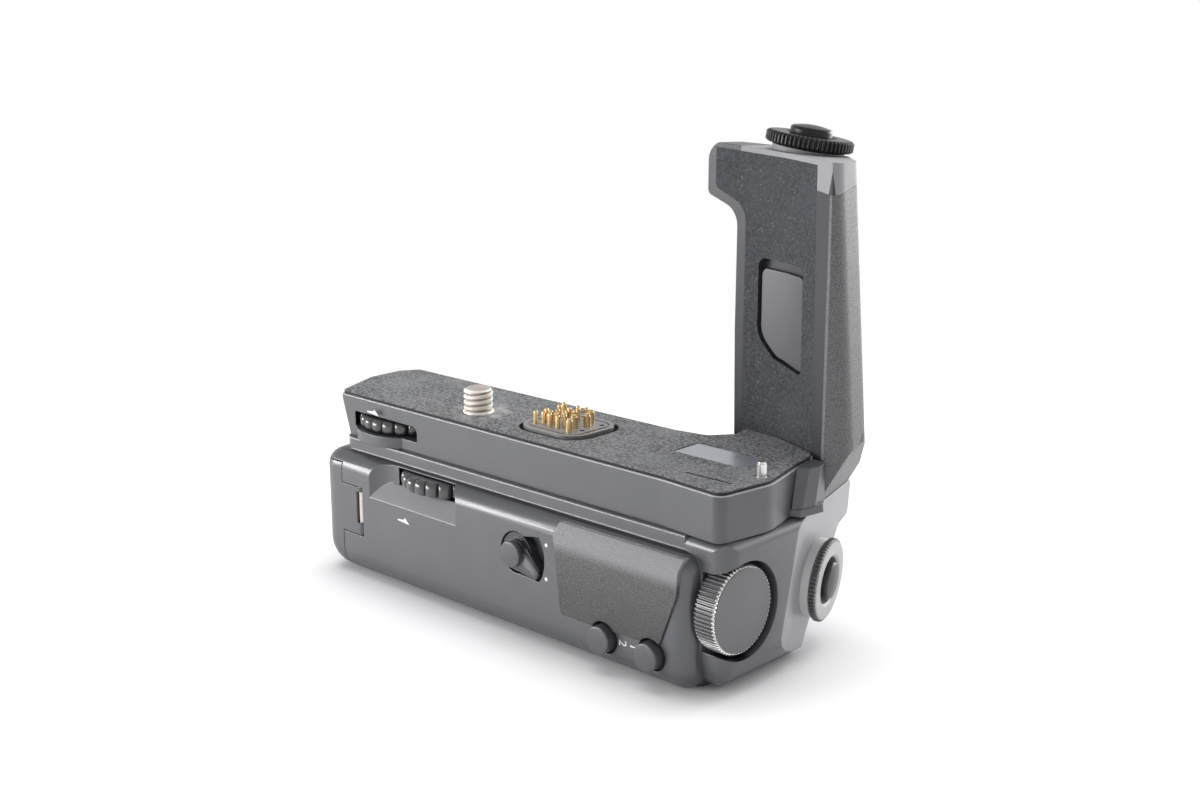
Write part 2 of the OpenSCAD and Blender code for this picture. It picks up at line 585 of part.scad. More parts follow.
module grip_base_floor() {
  color([0.14, 0.14, 0.15]) difference() {
    up(base_z, base_z + 1.2) polygon(rounded(inset(floor_pts, 0.1)));
    rod(lower_wheel, base_z - 1, base_z + 2, 4.2);
    for (p = floor_spots) rod(p, base_z - 1, base_z + 2, 1);
    for (p = floor_spots) rod(p, base_z - 1, base_z + 0.7, 1.7);
    rod(wheel_at, base_z + 0.4, base_z + 2, 2);
    box([32.5, -1.5, base_z - 1], [45.5, 7.5, base_z + 3]);
  }
}
module floor_screws() {
  color([0.3, 0.3, 0.31]) for (p = floor_spots) union() {
    rod(p, base_z + 0.1, base_z + 0.7, 1.5);
    rod(p, base_z + 0.6, base_z + 4.9, 0.7);
  }
}
module base_sheet() {
  color([0.1, 0.1, 0.1]) difference() {
    up(case_top, sheet_top) polygon(rounded(inset(base_pts, 0.5)));
    rod([0, 0], case_top - 1, sheet_top + 1, 4);
    rod(guide_at, case_top - 1, sheet_top + 1, guide_radius + 0.4);
    up(case_top - 1, sheet_top + 1) polygon(rounded(inset(rim_pts, -1)));
    up(case_top - 1, sheet_top + 1) polygon(rounded(inset(label_pts, -0.15)));
  }
}
module label_plate() { color([0.5, 0.5, 0.52]) up(case_top, sheet_top - 0.1) polygon(rounded(label_pts)); }
module contact_block() {
  color([0.2, 0.2, 0.2]) difference() {
    union() {
      up(base_z + 5.5, case_top) polygon(rounded(core_pts));
      up(case_top, sheet_top + 0.6) polygon(rounded(rim_pts));
    }
    up(sheet_top + 0.3, sheet_top + 2) difference() {
      polygon(rounded(inset(rim_pts, 1)));
      polygon(rounded(core_pts));
    }
    for (p = small_pins) rod(p, base_z + 6, sheet_top + 2, pin_radius);
    for (p = big_pins) rod(p, base_z + 6, sheet_top + 2, power_pin_radius);
    for (p = [[28.7, 2.6], [28.9, 8.4]]) rod(p, sheet_top - 1, sheet_top + 2, 0.6);
  }
}
module contact_gasket() {
  color([0.05, 0.05, 0.05]) difference() {
    up(case_top, sheet_top - 0.3) polygon(rounded(inset(rim_pts, -0.95)));
    up(case_top - 1, sheet_top + 1) polygon(rounded(rim_pts));
  }
}
module contact_pins() {
  color([0.85, 0.65, 0.25]) for (p = small_pins) union() {
    rod(p, base_z + 6, sheet_top + 2.9, pin_radius);
    translate([p[0], p[1], sheet_top + 2.9]) sphere(r = pin_radius);
  }
}
module power_pins() {
  color([0.85, 0.65, 0.25]) for (p = big_pins) union() {
    rod(p, base_z + 6, sheet_top + 2.9, power_pin_radius);
    rod(p, sheet_top + 2.9, sheet_top + 3.3, power_pin_radius - 0.3);
  }
}
module guide_pin() {
  color([0.75, 0.73, 0.7]) union() {
    rod(guide_at, sheet_top - 4, sheet_top - 0.05, guide_radius + 0.3);
    rod(guide_at, sheet_top - 0.05, sheet_top + guide_rise - 0.3, guide_radius);
    rod(guide_at, sheet_top + guide_rise - 0.3, sheet_top + guide_rise, guide_radius - 0.25);
  }
}
module bearing_plate() {
  color([0.6, 0.6, 0.6]) difference() {
    up(base_z + 5.2, base_z + 5.9) polygon(rounded([[-3, -5.6, 1], [13, -6.4, 1.4], [13, 11.4, 1.4], [-3, 11.4, 1.4]]));
    rod([0, 0], base_z + 5, base_z + 6, 1.5);
    for (p = [[11.4, -4.6], [11.4, 9.6], [-1.4, 9.6]]) rod(p, base_z + 5, base_z + 6, 0.7);
  }
}
module bearing_screws() {
  color([0.7, 0.7, 0.7]) for (p = [[11.4, -4.6], [11.4, 9.6], [-1.4, 9.6]]) union() {
    rod(p, base_z + 4.4, base_z + 5.2, 1.3);
    rod(p, base_z + 5.1, base_z + 8.4, 0.7);
  }
}
module grip_socket() {
  color([0.7, 0.7, 0.7]) difference() {
    rod(lower_wheel, base_z, base_z + 5, 4.2);
    rod(lower_wheel, base_z - 1, base_z + 6, 3.17);
  }
}
module wheel_post() { color([0.7, 0.7, 0.7]) rod(wheel_at, base_z + 0.4, case_top - 0.4, 2); }
module idler_stud() {
  color([0.7, 0.7, 0.7]) union() {
    rod(idler_at, base_z + 5.6, case_top - 0.4, 1.3);
    rod(idler_at, base_z + 5.62, base_z + 6, 1.9);
  }
}
module grip_contact_pads() {
  color([0.85, 0.65, 0.25]) difference() {
    box([32.5, -1.5, base_z], [45.5, 7.5, base_z + 3]);
    for (p = pad_grid) translate([p[0] + 0.6, p[1] - 0.9, base_z - 1]) cube([0.5, 1.8, 1.15]);
  }
}

// Handle
inner_pts = concat([[30, 29.2, 0], [53, 29.2, 0], [60.6, 28.1, 0], [66.1, 26.2, 0], [71.9, 24, 0]],
  [[75.6, 22.2, 0], [95, 22.2, 0], [95, 70, 0], [30, 70, 0]]);
outer_pts = [[75.1, 21.6, 0.6], [79.7, 25.6, 4], [77.4, 34.5, 8], [68, 44.6, 9], [52, 45.4, 7],
  [39.6, 38, 4], [39.6, 20, 0]];
front_pts = [[47.9, base_z, 0], [95, base_z, 0], [95, crown + 2.4, 0], [39.6, crown + 2.4, 4],
  [39.6, crown - 8.4, 1.4], [47.45, crown - 11.4, 4.6], [47.35, base_z + 31, 0]];
module outer_lean(d) {
  translate(lean_from) rotate(a = -handle_lean, v = lean_axis) translate(-lean_from)
    up(base_z - 20, 130) polygon(rounded(inset(outer_pts, d)));
}
// top face of the handle, lowered by d
module top_cut(d) {
  translate([top_at[0], top_at[1], crown + cap_lift - d]) rotate([0, 5.15, 56.3])
    translate([-60, -60, 0]) cube([120, 120, 60]);
}
// slanted underside that meets the holder's end face and its bulge
module under_cuts() {
  for (c = [[75, 21.5, 16], [69, 41, 53], [60, bulge_front, 90]])
    translate([c[0], c[1], base_z + 0.2]) rotate([0, 0, c[2]]) rotate([0, 27, 0])
      translate([0, -60, -60]) cube([60, 120, 120]);
}
module handle_form() {
  difference() {
    intersection() {
      up(base_z, 125) polygon([for (p = inner_pts) [p[0], p[1]]]);
      outer_lean(0);
      along_y(10, 70) polygon(rounded(front_pts));
    }
    top_cut(0);
    under_cuts();
  }
}
module leather_zone() {
  difference() {
    box([50, 0, base_z], [100, 80, 130]);
    // below the slanted lower edge
    translate([60, 22.5, base_z + 2]) rotate([49, 0, 0]) translate([-30, -20, -40]) cube([90, 120, 40]);
    // above the cap line
    translate([60, 22, crown - 5.2]) rotate([7, 0, 0]) translate([-30, -20, 0]) cube([90, 80, 60]);
    // left of the inner edge
    box([40, 0, 0], [52, 30.5, 130]);
  }
}
module leather_zone_all() {
  union() {
    leather_zone();
    difference() {
      box([50, 0, base_z + 13.4], [100, 80, 130]);
      translate([60, 22, crown - 5.2]) rotate([7, 0, 0]) translate([-30, -20, 0]) cube([90, 80, 60]);
      box([40, 0, 0], [52, 30.5, 130]);
    }
  }
}
sheet_front = [[49.7, base_z + 10.1, 0], [71.4, base_z + 10.1, 0], [70.2, crown + 5, 0], [41.7, crown + 5, 0],
  [41.7, crown - 7, 1.5], [49.7, crown - 10.3, 5]];
pad_front = [[53.9, base_z + 44.4, 1.5], [53.9, base_z + 30.5, 5], [58.5, base_z + 26.6, 4], [66.6, base_z + 24.8, 0.8],
  [66.3, base_z + 44, 1.2]];
pad_recess = [[53.2, base_z + 46.6, 2], [53.2, base_z + 30.3, 5.3], [58.2, base_z + 26, 4.2], [66.9, base_z + 24.3, 1],
  [66.6, base_z + 46.1, 1.4]];
// everything in front of the inner face, moved back by d
module behind_face(d) { up(base_z, 125) polygon([for (p = inner_pts) [p[0], p[1] + d]]); }
module recess_cut() {
  difference() {
    along_y(20, 34) polygon(rounded(pad_recess));
    behind_face(1.8);
  }
}
module sheet_zone() {
  difference() {
    intersection() {
      along_y(20, 40) polygon(rounded(sheet_front));
      up(base_z, 125) polygon(concat([[38, 29], [53, 29]], [[60.6, 27.9], [66.1, 26], [72.2, 23.6]],
        [[72.2, 24.5], [66.3, 26.8], [60.7, 28.7], [53, 29.8], [38, 29.8]]));
    }
    top_cut(1.1);
  }
}
module handle_case() {
  color([0.17, 0.17, 0.18]) difference() {
    handle_form();
    intersection() {
      difference() {
        outer_lean(-1);
        outer_lean(leather_thick);
      }
      leather_zone_all();
    }
    cap_zone();
    sheet_zone();
    recess_cut();
    dial_bore();
  }
}
module dial_bore() { on_top() translate([0, 0, -3.6]) cylinder(h = 12, r = 5.56); }
module cap_zone() {
  translate([60, 22, crown - 5.2]) rotate([7, 0, 0]) translate([-12, 0.8, 0]) cube([60, 80, 60]);
}
module handle_leather() {
  color([0.12, 0.12, 0.12]) intersection() {
    difference() {
      handle_form();
      outer_lean(leather_thick);
      dial_bore();
    }
    leather_zone_all();
  }
}
module handle_sheet() {
  color([0.1, 0.1, 0.1]) difference() {
    intersection() {
      handle_form();
      sheet_zone();
    }
    along_y(20, 40) polygon(rounded(pad_recess));
  }
}
module handle_pad() {
  color([0.3, 0.3, 0.31]) difference() {
    intersection() {
      behind_face(0.5);
      along_y(20, 34) polygon(rounded(pad_front));
    }
    behind_face(1.8);
  }
}
module handle_cap() {
  color([0.2, 0.2, 0.21]) difference() {
    union() {
      intersection() {
        handle_form();
        cap_zone();
      }
      // round seat of the dial
      on_top() translate([0, 0, -2]) cylinder(h = 3.6, r = 7.3);
    }
    sheet_zone();
    dial_bore();
  }
}

// Wheel, gears and screw of the camera grip
turn_idler = atan2(idler_at[1] - wheel_at[1], idler_at[0] - wheel_at[0]);
turn_screw = atan2(-idler_at[1], -idler_at[0]);
phase_idler = turn_idler + 180 - 180 / idler_teeth;
phase_screw = turn_screw + 180 - (phase_idler - turn_screw) * idler_teeth / screw_teeth - 180 / screw_teeth;
module camera_lock_wheel() {
  color([0.15, 0.15, 0.16]) difference() {
    union() {
      translate([wheel_at[0], wheel_at[1], window_low + 0.2]) linear_extrude(2.8)
        polygon(ribs(22, wheel_radius, 0.8));
    }
    rod(wheel_at, base_z + 1, base_z + 6, 2.06);
  }
}
module wheel_gear() {
  color([0.85, 0.85, 0.8]) translate([wheel_at[0], wheel_at[1], base_z + 5.5]) difference() {
    union() {
      translate([0, 0, 0.6]) rotate(turn_idler) linear_extrude(1.75) polygon(gear(wheel_teeth, gear_module, 0.9));
      cylinder(h = 0.7, r = 5);
    }
    translate([0, 0, -1]) cylinder(h = 5, r = 2.06);
  }
}
module idler_gear() {
  color([0.85, 0.85, 0.8]) translate([idler_at[0], idler_at[1], base_z + 6.1]) difference() {
    rotate(phase_idler) linear_extrude(1.75) polygon(gear(idler_teeth, gear_module, 0.9));
    translate([0, 0, -1]) cylinder(h = 5, r = 1.36);
  }
}
module camera_screw() {
  color([0.75, 0.72, 0.68]) union() {
    rod([0, 0], base_z + 5.2, base_z + 6.2, 1.44);
    rod([0, 0], base_z + 6.1, base_z + 7.9, 2);
    rod([0, 0], base_z + 7.85, sheet_top, 3);
    rod([0, 0], sheet_top - 0.6, sheet_top + 0.3, 3.6);
    threaded(screw_radius, sheet_top + 0.2, sheet_top + screw_rise);
  }
}
module screw_gear() {
  color([0.85, 0.85, 0.8]) translate([0, 0, base_z + 6.1]) difference() {
    rotate(phase_screw) linear_extrude(1.75) polygon(gear(screw_teeth, gear_module, 0.9));
    translate([0, 0, -1]) cylinder(h = 5, r = 2);
  }
}
module grip_dial() {
  color([0.15, 0.15, 0.16]) on_top() difference() {
    union() {
      translate([0, 0, 1.9]) linear_extrude(2.4) polygon(knurl(58, top_dial_radius, 0.45));
      translate([0, 0, -2.4]) cylinder(h = 4.4, r = 5.5);
    }
    translate([0, 0, -7]) cylinder(h = 14, r = 4.8);
  }
}
module grip_shutter() {
  color([0.15, 0.15, 0.16]) on_top() domed(4.3, -2.2, 6.3);
}

holder_case();
holder_top_plate();
holder_bottom_cover();
bottom_screws();
tripod_insert();
thumb_rest();
finger_leather();
holder_contact_block();
holder_contact_pins();
main_board();
battery_contacts();
hinge_pin();
jack_cover();
rear_dial();
rear_dial_cap();
rear_dial_axle();
lock_lever();
lever_knob();
function_button_1();
function_button_2();
portrait_dial();
portrait_shutter();
holder_lock_wheel();
holder_screw();
battery_door();
door_seal();
door_latch();
grip_base_case();
grip_base_floor();
floor_screws();
base_sheet();
label_plate();
contact_block();
contact_gasket();
contact_pins();
power_pins();
guide_pin();
bearing_plate();
bearing_screws();
grip_socket();
wheel_post();
idler_stud();
grip_contact_pads();
handle_case();
handle_leather();
handle_sheet();
handle_pad();
handle_cap();
camera_lock_wheel();
wheel_gear();
idler_gear();
camera_screw();
screw_gear();
grip_dial();
grip_shutter();
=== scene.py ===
# %% [markdown]
# # A camera battery grip, dressed for a product shot
# The battery grip comes in as a imported CAD model: every cover, dial, button and
# screw already has its true size and place. This lesson gives the grip its
# finishes, remakes the small turned parts whose edges catch the light, and sets
# up the pale studio in which it is seen. The CAD pieces stay where they are,
# because the joints of the grip turn about them.

# %% Load the imported grip
import json
import math
import bmesh
import bpy
import numpy as np
from mathutils import Matrix, Vector


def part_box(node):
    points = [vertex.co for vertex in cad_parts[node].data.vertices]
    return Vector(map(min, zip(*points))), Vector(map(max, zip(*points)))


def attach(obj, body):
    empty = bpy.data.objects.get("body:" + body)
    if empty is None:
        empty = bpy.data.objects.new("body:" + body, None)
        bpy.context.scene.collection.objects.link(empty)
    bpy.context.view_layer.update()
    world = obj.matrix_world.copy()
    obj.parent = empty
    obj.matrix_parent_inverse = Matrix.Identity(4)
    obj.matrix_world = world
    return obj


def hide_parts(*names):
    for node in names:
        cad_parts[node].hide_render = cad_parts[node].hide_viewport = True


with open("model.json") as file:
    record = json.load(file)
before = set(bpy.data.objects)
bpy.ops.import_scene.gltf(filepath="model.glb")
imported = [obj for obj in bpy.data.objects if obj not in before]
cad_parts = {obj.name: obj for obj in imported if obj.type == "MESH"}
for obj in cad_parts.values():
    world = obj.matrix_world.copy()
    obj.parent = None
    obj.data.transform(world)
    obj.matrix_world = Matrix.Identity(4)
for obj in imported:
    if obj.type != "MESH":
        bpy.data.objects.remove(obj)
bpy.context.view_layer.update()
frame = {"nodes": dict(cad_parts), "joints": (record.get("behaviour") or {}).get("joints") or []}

MM = 0.001
nodes = frame["nodes"]

# %% [markdown]
# ## The camera
# The picture was taken from behind the grip's right-hand corner, a little above
# it. A 49 mm lens on a 36 mm wide sensor gives the same perspective. The camera
# is placed by its measured position, and turned by two angles: a turn about the
# vertical and a tilt down. That is easier to adjust than a target to look at.

# %% Place the camera
CAMERA_AT = (254.5, -232.8, 133.0)
CAMERA_TURN, CAMERA_TILT = 43.15, 14.6
LENS, SENSOR = 48.99, 36.0
def aim(azimuth, elevation):
    """Direction the lens looks: the horizontal turn, then the tilt below the horizon."""
    a, e = math.radians(azimuth), math.radians(elevation)
    return Vector((-math.sin(a) * math.cos(e), math.cos(a) * math.cos(e), -math.sin(e)))

lens = bpy.data.cameras.new("studio_camera")
lens.lens, lens.sensor_width = LENS, SENSOR
lens.clip_start, lens.clip_end = 0.01, 20.0
camera = bpy.data.objects.new("studio_camera", lens)
bpy.context.scene.collection.objects.link(camera)
camera.location = Vector(CAMERA_AT) * MM
camera.rotation_mode = "QUATERNION"
camera.rotation_quaternion = aim(CAMERA_TURN, CAMERA_TILT).to_track_quat("-Z", "Y")
bpy.context.scene.camera = camera
print("camera at", [round(v, 4) for v in camera.location])

# %% [markdown]
# ## Writing a finish
# A finish is a small network of nodes. It reads better as arithmetic, so one
# class wraps a socket and lets Python's own + - * / build the Math nodes, and
# one method makes every other node from its type, its settings and its inputs.

# %% Shader arithmetic
class Wire:
    """One output socket that takes part in Python expressions."""
    def __init__(self, paint, socket):
        self.paint, self.socket = paint, socket
    def math(self, operation, *values):
        return self.paint.node("Math", {"operation": operation}, dict(enumerate(values)))
    def __add__(self, other): return self.math("ADD", self, other)
    def __sub__(self, other): return self.math("SUBTRACT", self, other)
    def __rsub__(self, other): return self.math("SUBTRACT", other, self)
    def __mul__(self, other): return self.math("MULTIPLY", self, other)
    __radd__, __rmul__ = __add__, __mul__
    def step(self, low, high):
        """0 below low, 1 above high, and a soft S between them."""
        return self.paint.node("MapRange", {"interpolation_type": "SMOOTHSTEP"},
                               {"Value": self, "From Min": low, "From Max": high})
print("operators of a wire: + - *")

# %% The paint box
class Paint:
    """A material under construction: its tree, its coordinates in millimetres and its shader."""
    def __init__(self, name):
        self.material = bpy.data.materials.new(name)
        self.material.use_nodes = True
        self.tree = self.material.node_tree
        self.tree.nodes.clear()
        self.place = self.node("TexCoord", out="Object")
        self.mm = self.node("VectorMath", {"operation": "SCALE"}, {0: self.place, "Scale": 1000.0})
    def node(self, kind, settings=None, inputs=None, out=0):
        """Makes a node: settings first, then values or links; returns one output."""
        made = self.tree.nodes.new("ShaderNode" + kind)
        for key, value in (settings or {}).items():
            setattr(made, key, value)
        for key, value in (inputs or {}).items():
            if isinstance(value, Wire):
                self.tree.links.new(value.socket, made.inputs[key])
            else:
                made.inputs[key].default_value = value
        return Wire(self, made.outputs[out])
    def noise(self, per_mm, detail=2.0, roughness=0.5, where=None):
        """Cloudy noise from 0 to 1, with about per_mm bumps on each millimetre."""
        return self.node("TexNoise", {}, {"Vector": where or self.mm, "Scale": per_mm,
                         "Detail": detail, "Roughness": roughness})
    def cells(self, per_mm, feature="F1", where=None):
        """Cell pattern: distance to the nearest cell point, or to the wall between cells."""
        return self.node("TexVoronoi", {"feature": feature}, {"Vector": where or self.mm,
                         "Scale": per_mm}, "Distance")
    def away(self, point, across=(1.0, 1.0, 1.0)):
        """Distance from a point, in millimetres; across leaves out an axis by a 0."""
        gap = self.node("VectorMath", {"operation": "MULTIPLY_ADD"},
                        {0: self.mm, 1: across, 2: tuple(-c * a for c, a in zip(point, across))})
        return self.node("VectorMath", {"operation": "LENGTH"}, {0: gap}, "Value")
    def beside(self, start, end):
        """Distance from the straight line between two points, in millimetres."""
        line = Vector(end) - Vector(start)
        gap = self.node("VectorMath", {"operation": "SUBTRACT"}, {0: self.mm, 1: start})
        along = self.node("VectorMath", {"operation": "DOT_PRODUCT"},
                          {0: gap, 1: tuple(line / line.length_squared)}, "Value")
        near = self.node("Clamp", {}, {0: along})
        foot = self.node("VectorMath", {"operation": "SCALE"}, {0: tuple(line), "Scale": near})
        rest = self.node("VectorMath", {"operation": "SUBTRACT"}, {0: gap, 1: foot})
        return self.node("VectorMath", {"operation": "LENGTH"}, {0: rest}, "Value")
    def height(self):
        """Height above the floor, in millimetres."""
        return self.node("SeparateXYZ", {}, {0: self.mm}, "Z")
    def blend(self, share, low, high):
        """Colour from low to high as share goes from 0 to 1."""
        made = self.tree.nodes.new("ShaderNodeMix")
        made.data_type = "RGBA"
        self.tree.links.new(share.socket, made.inputs["Factor"])
        for key, value in ((6, low), (7, high)):
            if isinstance(value, Wire):
                self.tree.links.new(value.socket, made.inputs[key])
            else:
                made.inputs[key].default_value = (*value, 1.0)
        return Wire(self, made.outputs[2])
    def facing(self, direction):
        """1 on flat faces that look along a direction, 0 from 13 degrees off it."""
        flat = self.node("NewGeometry", out="True Normal")
        turn = self.node("VectorMath", {"operation": "DOT_PRODUCT"},
                         {0: flat, 1: tuple(direction)}, "Value")
        return turn.step(0.974, 0.994)
    def edge(self, radius_mm=0.3):
        """Normal that rounds the sharp edges of a CAD piece by radius_mm."""
        return self.node("Bevel", {"samples": 6}, {"Radius": radius_mm * MM})
    def bump(self, height, depth_mm, normal=None):
        """Normal of a surface whose height varies by depth_mm."""
        inputs = {"Height": height, "Distance": depth_mm * MM, "Strength": 1.0}
        if normal:
            inputs["Normal"] = normal
        return self.node("Bump", {}, inputs)
    def finish(self, color, rough, metal=0.0, normal=None, specular=0.5, ior=1.5):
        """Ends the network in one Principled shader."""
        bsdf = self.tree.nodes.new("ShaderNodeBsdfPrincipled")
        for key, value in (("Base Color", color), ("Roughness", rough), ("Metallic", metal),
                           ("Normal", normal), ("Specular IOR Level", specular), ("IOR", ior)):
            if isinstance(value, Wire):
                self.tree.links.new(value.socket, bsdf.inputs[key])
            elif isinstance(value, tuple):
                bsdf.inputs[key].default_value = (*value, 1.0)
            elif value is not None:
                bsdf.inputs[key].default_value = value
        last = self.tree.nodes.new("ShaderNodeOutputMaterial")
        self.tree.links.new(bsdf.outputs[0], last.inputs[0])
        return self.material

def shaded(tone, share):
    """The same colour made lighter or darker by a share."""
    return tuple(min(1.0, v * share) for v in tone)
print("half of a grey:", shaded((0.2, 0.2, 0.2), 0.5))

# %% [markdown]
# ## Satin plastic
# The covers are moulded in black plastic with a fine eroded texture. It is a
# very dark grey with a broad gloss, so what shows is mostly the bright room in
# it. The grain is finer than the eye can follow, and a slow cloud in the
# roughness keeps large faces from looking printed. Handled edges are paler. A
# painted highlight makes the ledge round the rubber sheet pale, painted light
# makes the oblique face that carries the portrait dial pale, and painted shade
# makes the holder's faces that look up darker.

# %% Finish for the moulded covers
# Pale tone of the painted highlight on the ledge round the rubber sheet.
LEDGE_HIGHLIGHT = (0.34, 0.34, 0.36)
def satin_plastic(name, tone, rough, edge_mm=0.3, wear=0.04, specular=0.9, ior=1.52, rim=None, sides=()):
    """Dark grey with an eroded grain, cloudy gloss and rubbed edges; a painted highlight as a pale ledge
    above the height rim, and painted light and painted shade as other tones on flat faces: sides lists
    (direction, tone)."""
    p = Paint(name)
    soft = p.edge(edge_mm)
    grain = p.noise(5.0, 3.0, 0.6)
    cloud = p.noise(0.12, 3.0)
    turned = p.node("VectorMath", {"operation": "DOT_PRODUCT"},
                    {0: soft, 1: p.node("NewGeometry", out="Normal")}, "Value")
    rub = (1.0 - turned).step(0.02, 0.3) * p.noise(0.8, 4.0).step(0.30, 0.7)
    body = p.blend(cloud, shaded(tone, 0.9), shaded(tone, 1.1))
    color = p.blend(rub, body, tuple(v + wear for v in tone))
    # Painted highlight: the ledge above the height rim is made pale.
    if rim:
        color = p.blend(p.height().step(rim - 0.25, rim - 0.12), color, LEDGE_HIGHLIGHT)
    # Painted light and painted shade: flat faces that look along a direction take another tone.
    for direction, other in sides:
        color = p.blend(p.facing(direction), color, other)
    gloss = p.noise(0.25, 4.0) * 0.10 + (rough - 0.07) + grain * 0.05
    return p.finish(color, gloss, normal=p.bump(grain, 0.010, soft), specular=specular, ior=ior)

# %% The plastics of the grip
CASE_TONE, CASE_ROUGH = (0.050, 0.052, 0.059), 0.33
UP = (0.0, 0.0, 1.0)
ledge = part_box("base_sheet")[0][2] / MM
oblique = next(j["axis"] for j in frame["joints"] if j["child"] == "portrait_dial")
case_plastic = satin_plastic("case_plastic", CASE_TONE, CASE_ROUGH)
# The holder's oblique face, which carries the portrait dial, takes a pale painted light, and its faces
# that look up take a painted shade.
holder_plastic = satin_plastic("holder_plastic", (0.060, 0.062, 0.071), CASE_ROUGH,
                               sides=((oblique, (0.27, 0.27, 0.28)), (UP, (0.012, 0.012, 0.014))))
base_plastic = satin_plastic("base_plastic", CASE_TONE, CASE_ROUGH, rim=ledge)
handle_plastic = satin_plastic("handle_plastic", (0.042, 0.043, 0.049), 0.36, 0.2, specular=0.3, ior=1.5)
cap_plastic = satin_plastic("cap_plastic", (0.290, 0.291, 0.302), 0.48, specular=0.1, ior=1.5)
# The collar is paler than the case: painted light that lifts the shadow the portrait dial casts on it.
collar_painted_light = satin_plastic("collar_painted_light", (0.52, 0.52, 0.53), 0.40)
cover_plastic = satin_plastic("cover_plastic", (0.028, 0.029, 0.033), 0.42)
smooth_plastic = satin_plastic("smooth_plastic", (0.050, 0.051, 0.057), 0.34, specular=0.6)
pale_plastic = satin_plastic("pale_plastic", (0.150, 0.148, 0.150), 0.40, 0.2)
dark_plastic = satin_plastic("dark_plastic", (0.020, 0.021, 0.024), 0.32, 0.15, 0.03, 0.8)
circuit_green = satin_plastic("circuit_green", (0.02, 0.10, 0.045), 0.4, 0.1)
gear_white = satin_plastic("gear_white", (0.62, 0.61, 0.57), 0.45, 0.1, 0.1, 0.5)
soft_rubber = satin_plastic("soft_rubber", (0.008, 0.008, 0.008), 0.85, 0.1, 0.005, 0.1, 1.4)
button_dark = satin_plastic("button_dark", (0.026, 0.026, 0.028), 0.34, 0.1, 0.01, 0.4)
print("plastic finishes:", case_plastic.name, cover_plastic.name, dark_plastic.name)

# %% [markdown]
# ## Leatherette
# The thumb rest and the outside of the handle carry a skin that imitates fine
# leather: pebbles of about four tenths of a millimetre with creases between
# them. Two sizes of cells, bent by noise so that no straight wall is left, give
# the creases, and their valleys are darker and duller than the pebbles. The top
# of the thumb rest carries a pale painted highlight, and its lower part a
# painted shade. The skin of the handle has one upright seam.

# %% Finish for the leather skins
# Pale tone of the painted highlight along the top of the thumb rest.
LEATHER_HIGHLIGHT = (0.36, 0.36, 0.37)
def leatherette(name, tone, per_mm, seam=None, rough=0.5, lit_above=None, relief=0.045):
    """Pebbled grain from cell walls at two scales, bent by noise; a painted highlight above a height and
    painted shade below it.
    """
    p = Paint(name)
    bend = p.node("TexNoise", {}, {"Vector": p.mm, "Scale": 1.3, "Detail": 2.0}, "Color")
    where = p.node("VectorMath", {"operation": "MULTIPLY_ADD"},
                   {0: bend, 1: (0.6, 0.6, 0.6), 2: p.mm})
    pebbles = p.cells(per_mm, "DISTANCE_TO_EDGE", where).step(0.0, 0.28)
    fine = p.cells(per_mm * 2.1, "DISTANCE_TO_EDGE", where).step(0.0, 0.3)
    grain = pebbles * 0.7 + fine * 0.3
    height = grain + p.noise(0.5, 3.0) * 0.5
    color = p.blend(grain, shaded(tone, 0.40), shaded(tone, 1.15))
    if lit_above:
        z = p.height()
        # Painted shade darkens the lower part of the thumb rest, and a painted highlight makes its top
        # pale.
        painted_shade_low = z.step(lit_above - 12.0, lit_above + 1.0) * 0.6 + 0.4
        color = p.blend(painted_shade_low, shaded(tone, 0.3), color)
        rubbed = z.step(lit_above - 1.5, lit_above + 1.5) * 0.55
        color = p.blend(rubbed, color, LEATHER_HIGHLIGHT)
    gloss = rough + 0.10 - pebbles * 0.16 + p.noise(0.3, 3.0) * 0.06
    if seam:
        near = p.beside(*seam)
        color = p.blend(near.step(0.08, 0.22), shaded(tone, 0.2), color)
        height = height * 0.6 + near.step(0.02, 0.3) * 1.4
    return p.finish(color, gloss, normal=p.bump(height, relief, p.edge(0.35)), specular=0.5)

leather_box = [np.array(c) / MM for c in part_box("handle_leather")]
seam_foot = (79.6, 29.6, leather_box[0][2])
seam_head = (77.0, 28.8, leather_box[1][2])
thumb_leather = leatherette("thumb_leather", (0.130, 0.130, 0.134), 2.6, None, 0.44, 22.5, 0.085)
grip_leather = leatherette("grip_leather", (0.170, 0.170, 0.176), 2.9, (seam_foot, seam_head), 0.45)
print("leather finishes:", thumb_leather.name, grip_leather.name)

# %% [markdown]
# ## The seat that the camera rests on
# The camera sits on a thin rubber sheet, and a second one faces its front. Both
# are rough like fine sandpaper, with pale grains where the surface is scuffed.
# The lower sheet is dusty, the camera has rubbed a pale patch round the screw,
# and a slit beside the guide pin marks a flap. All of it is colour and bump on
# flat sheets, because nothing stands up far enough to change an outline.

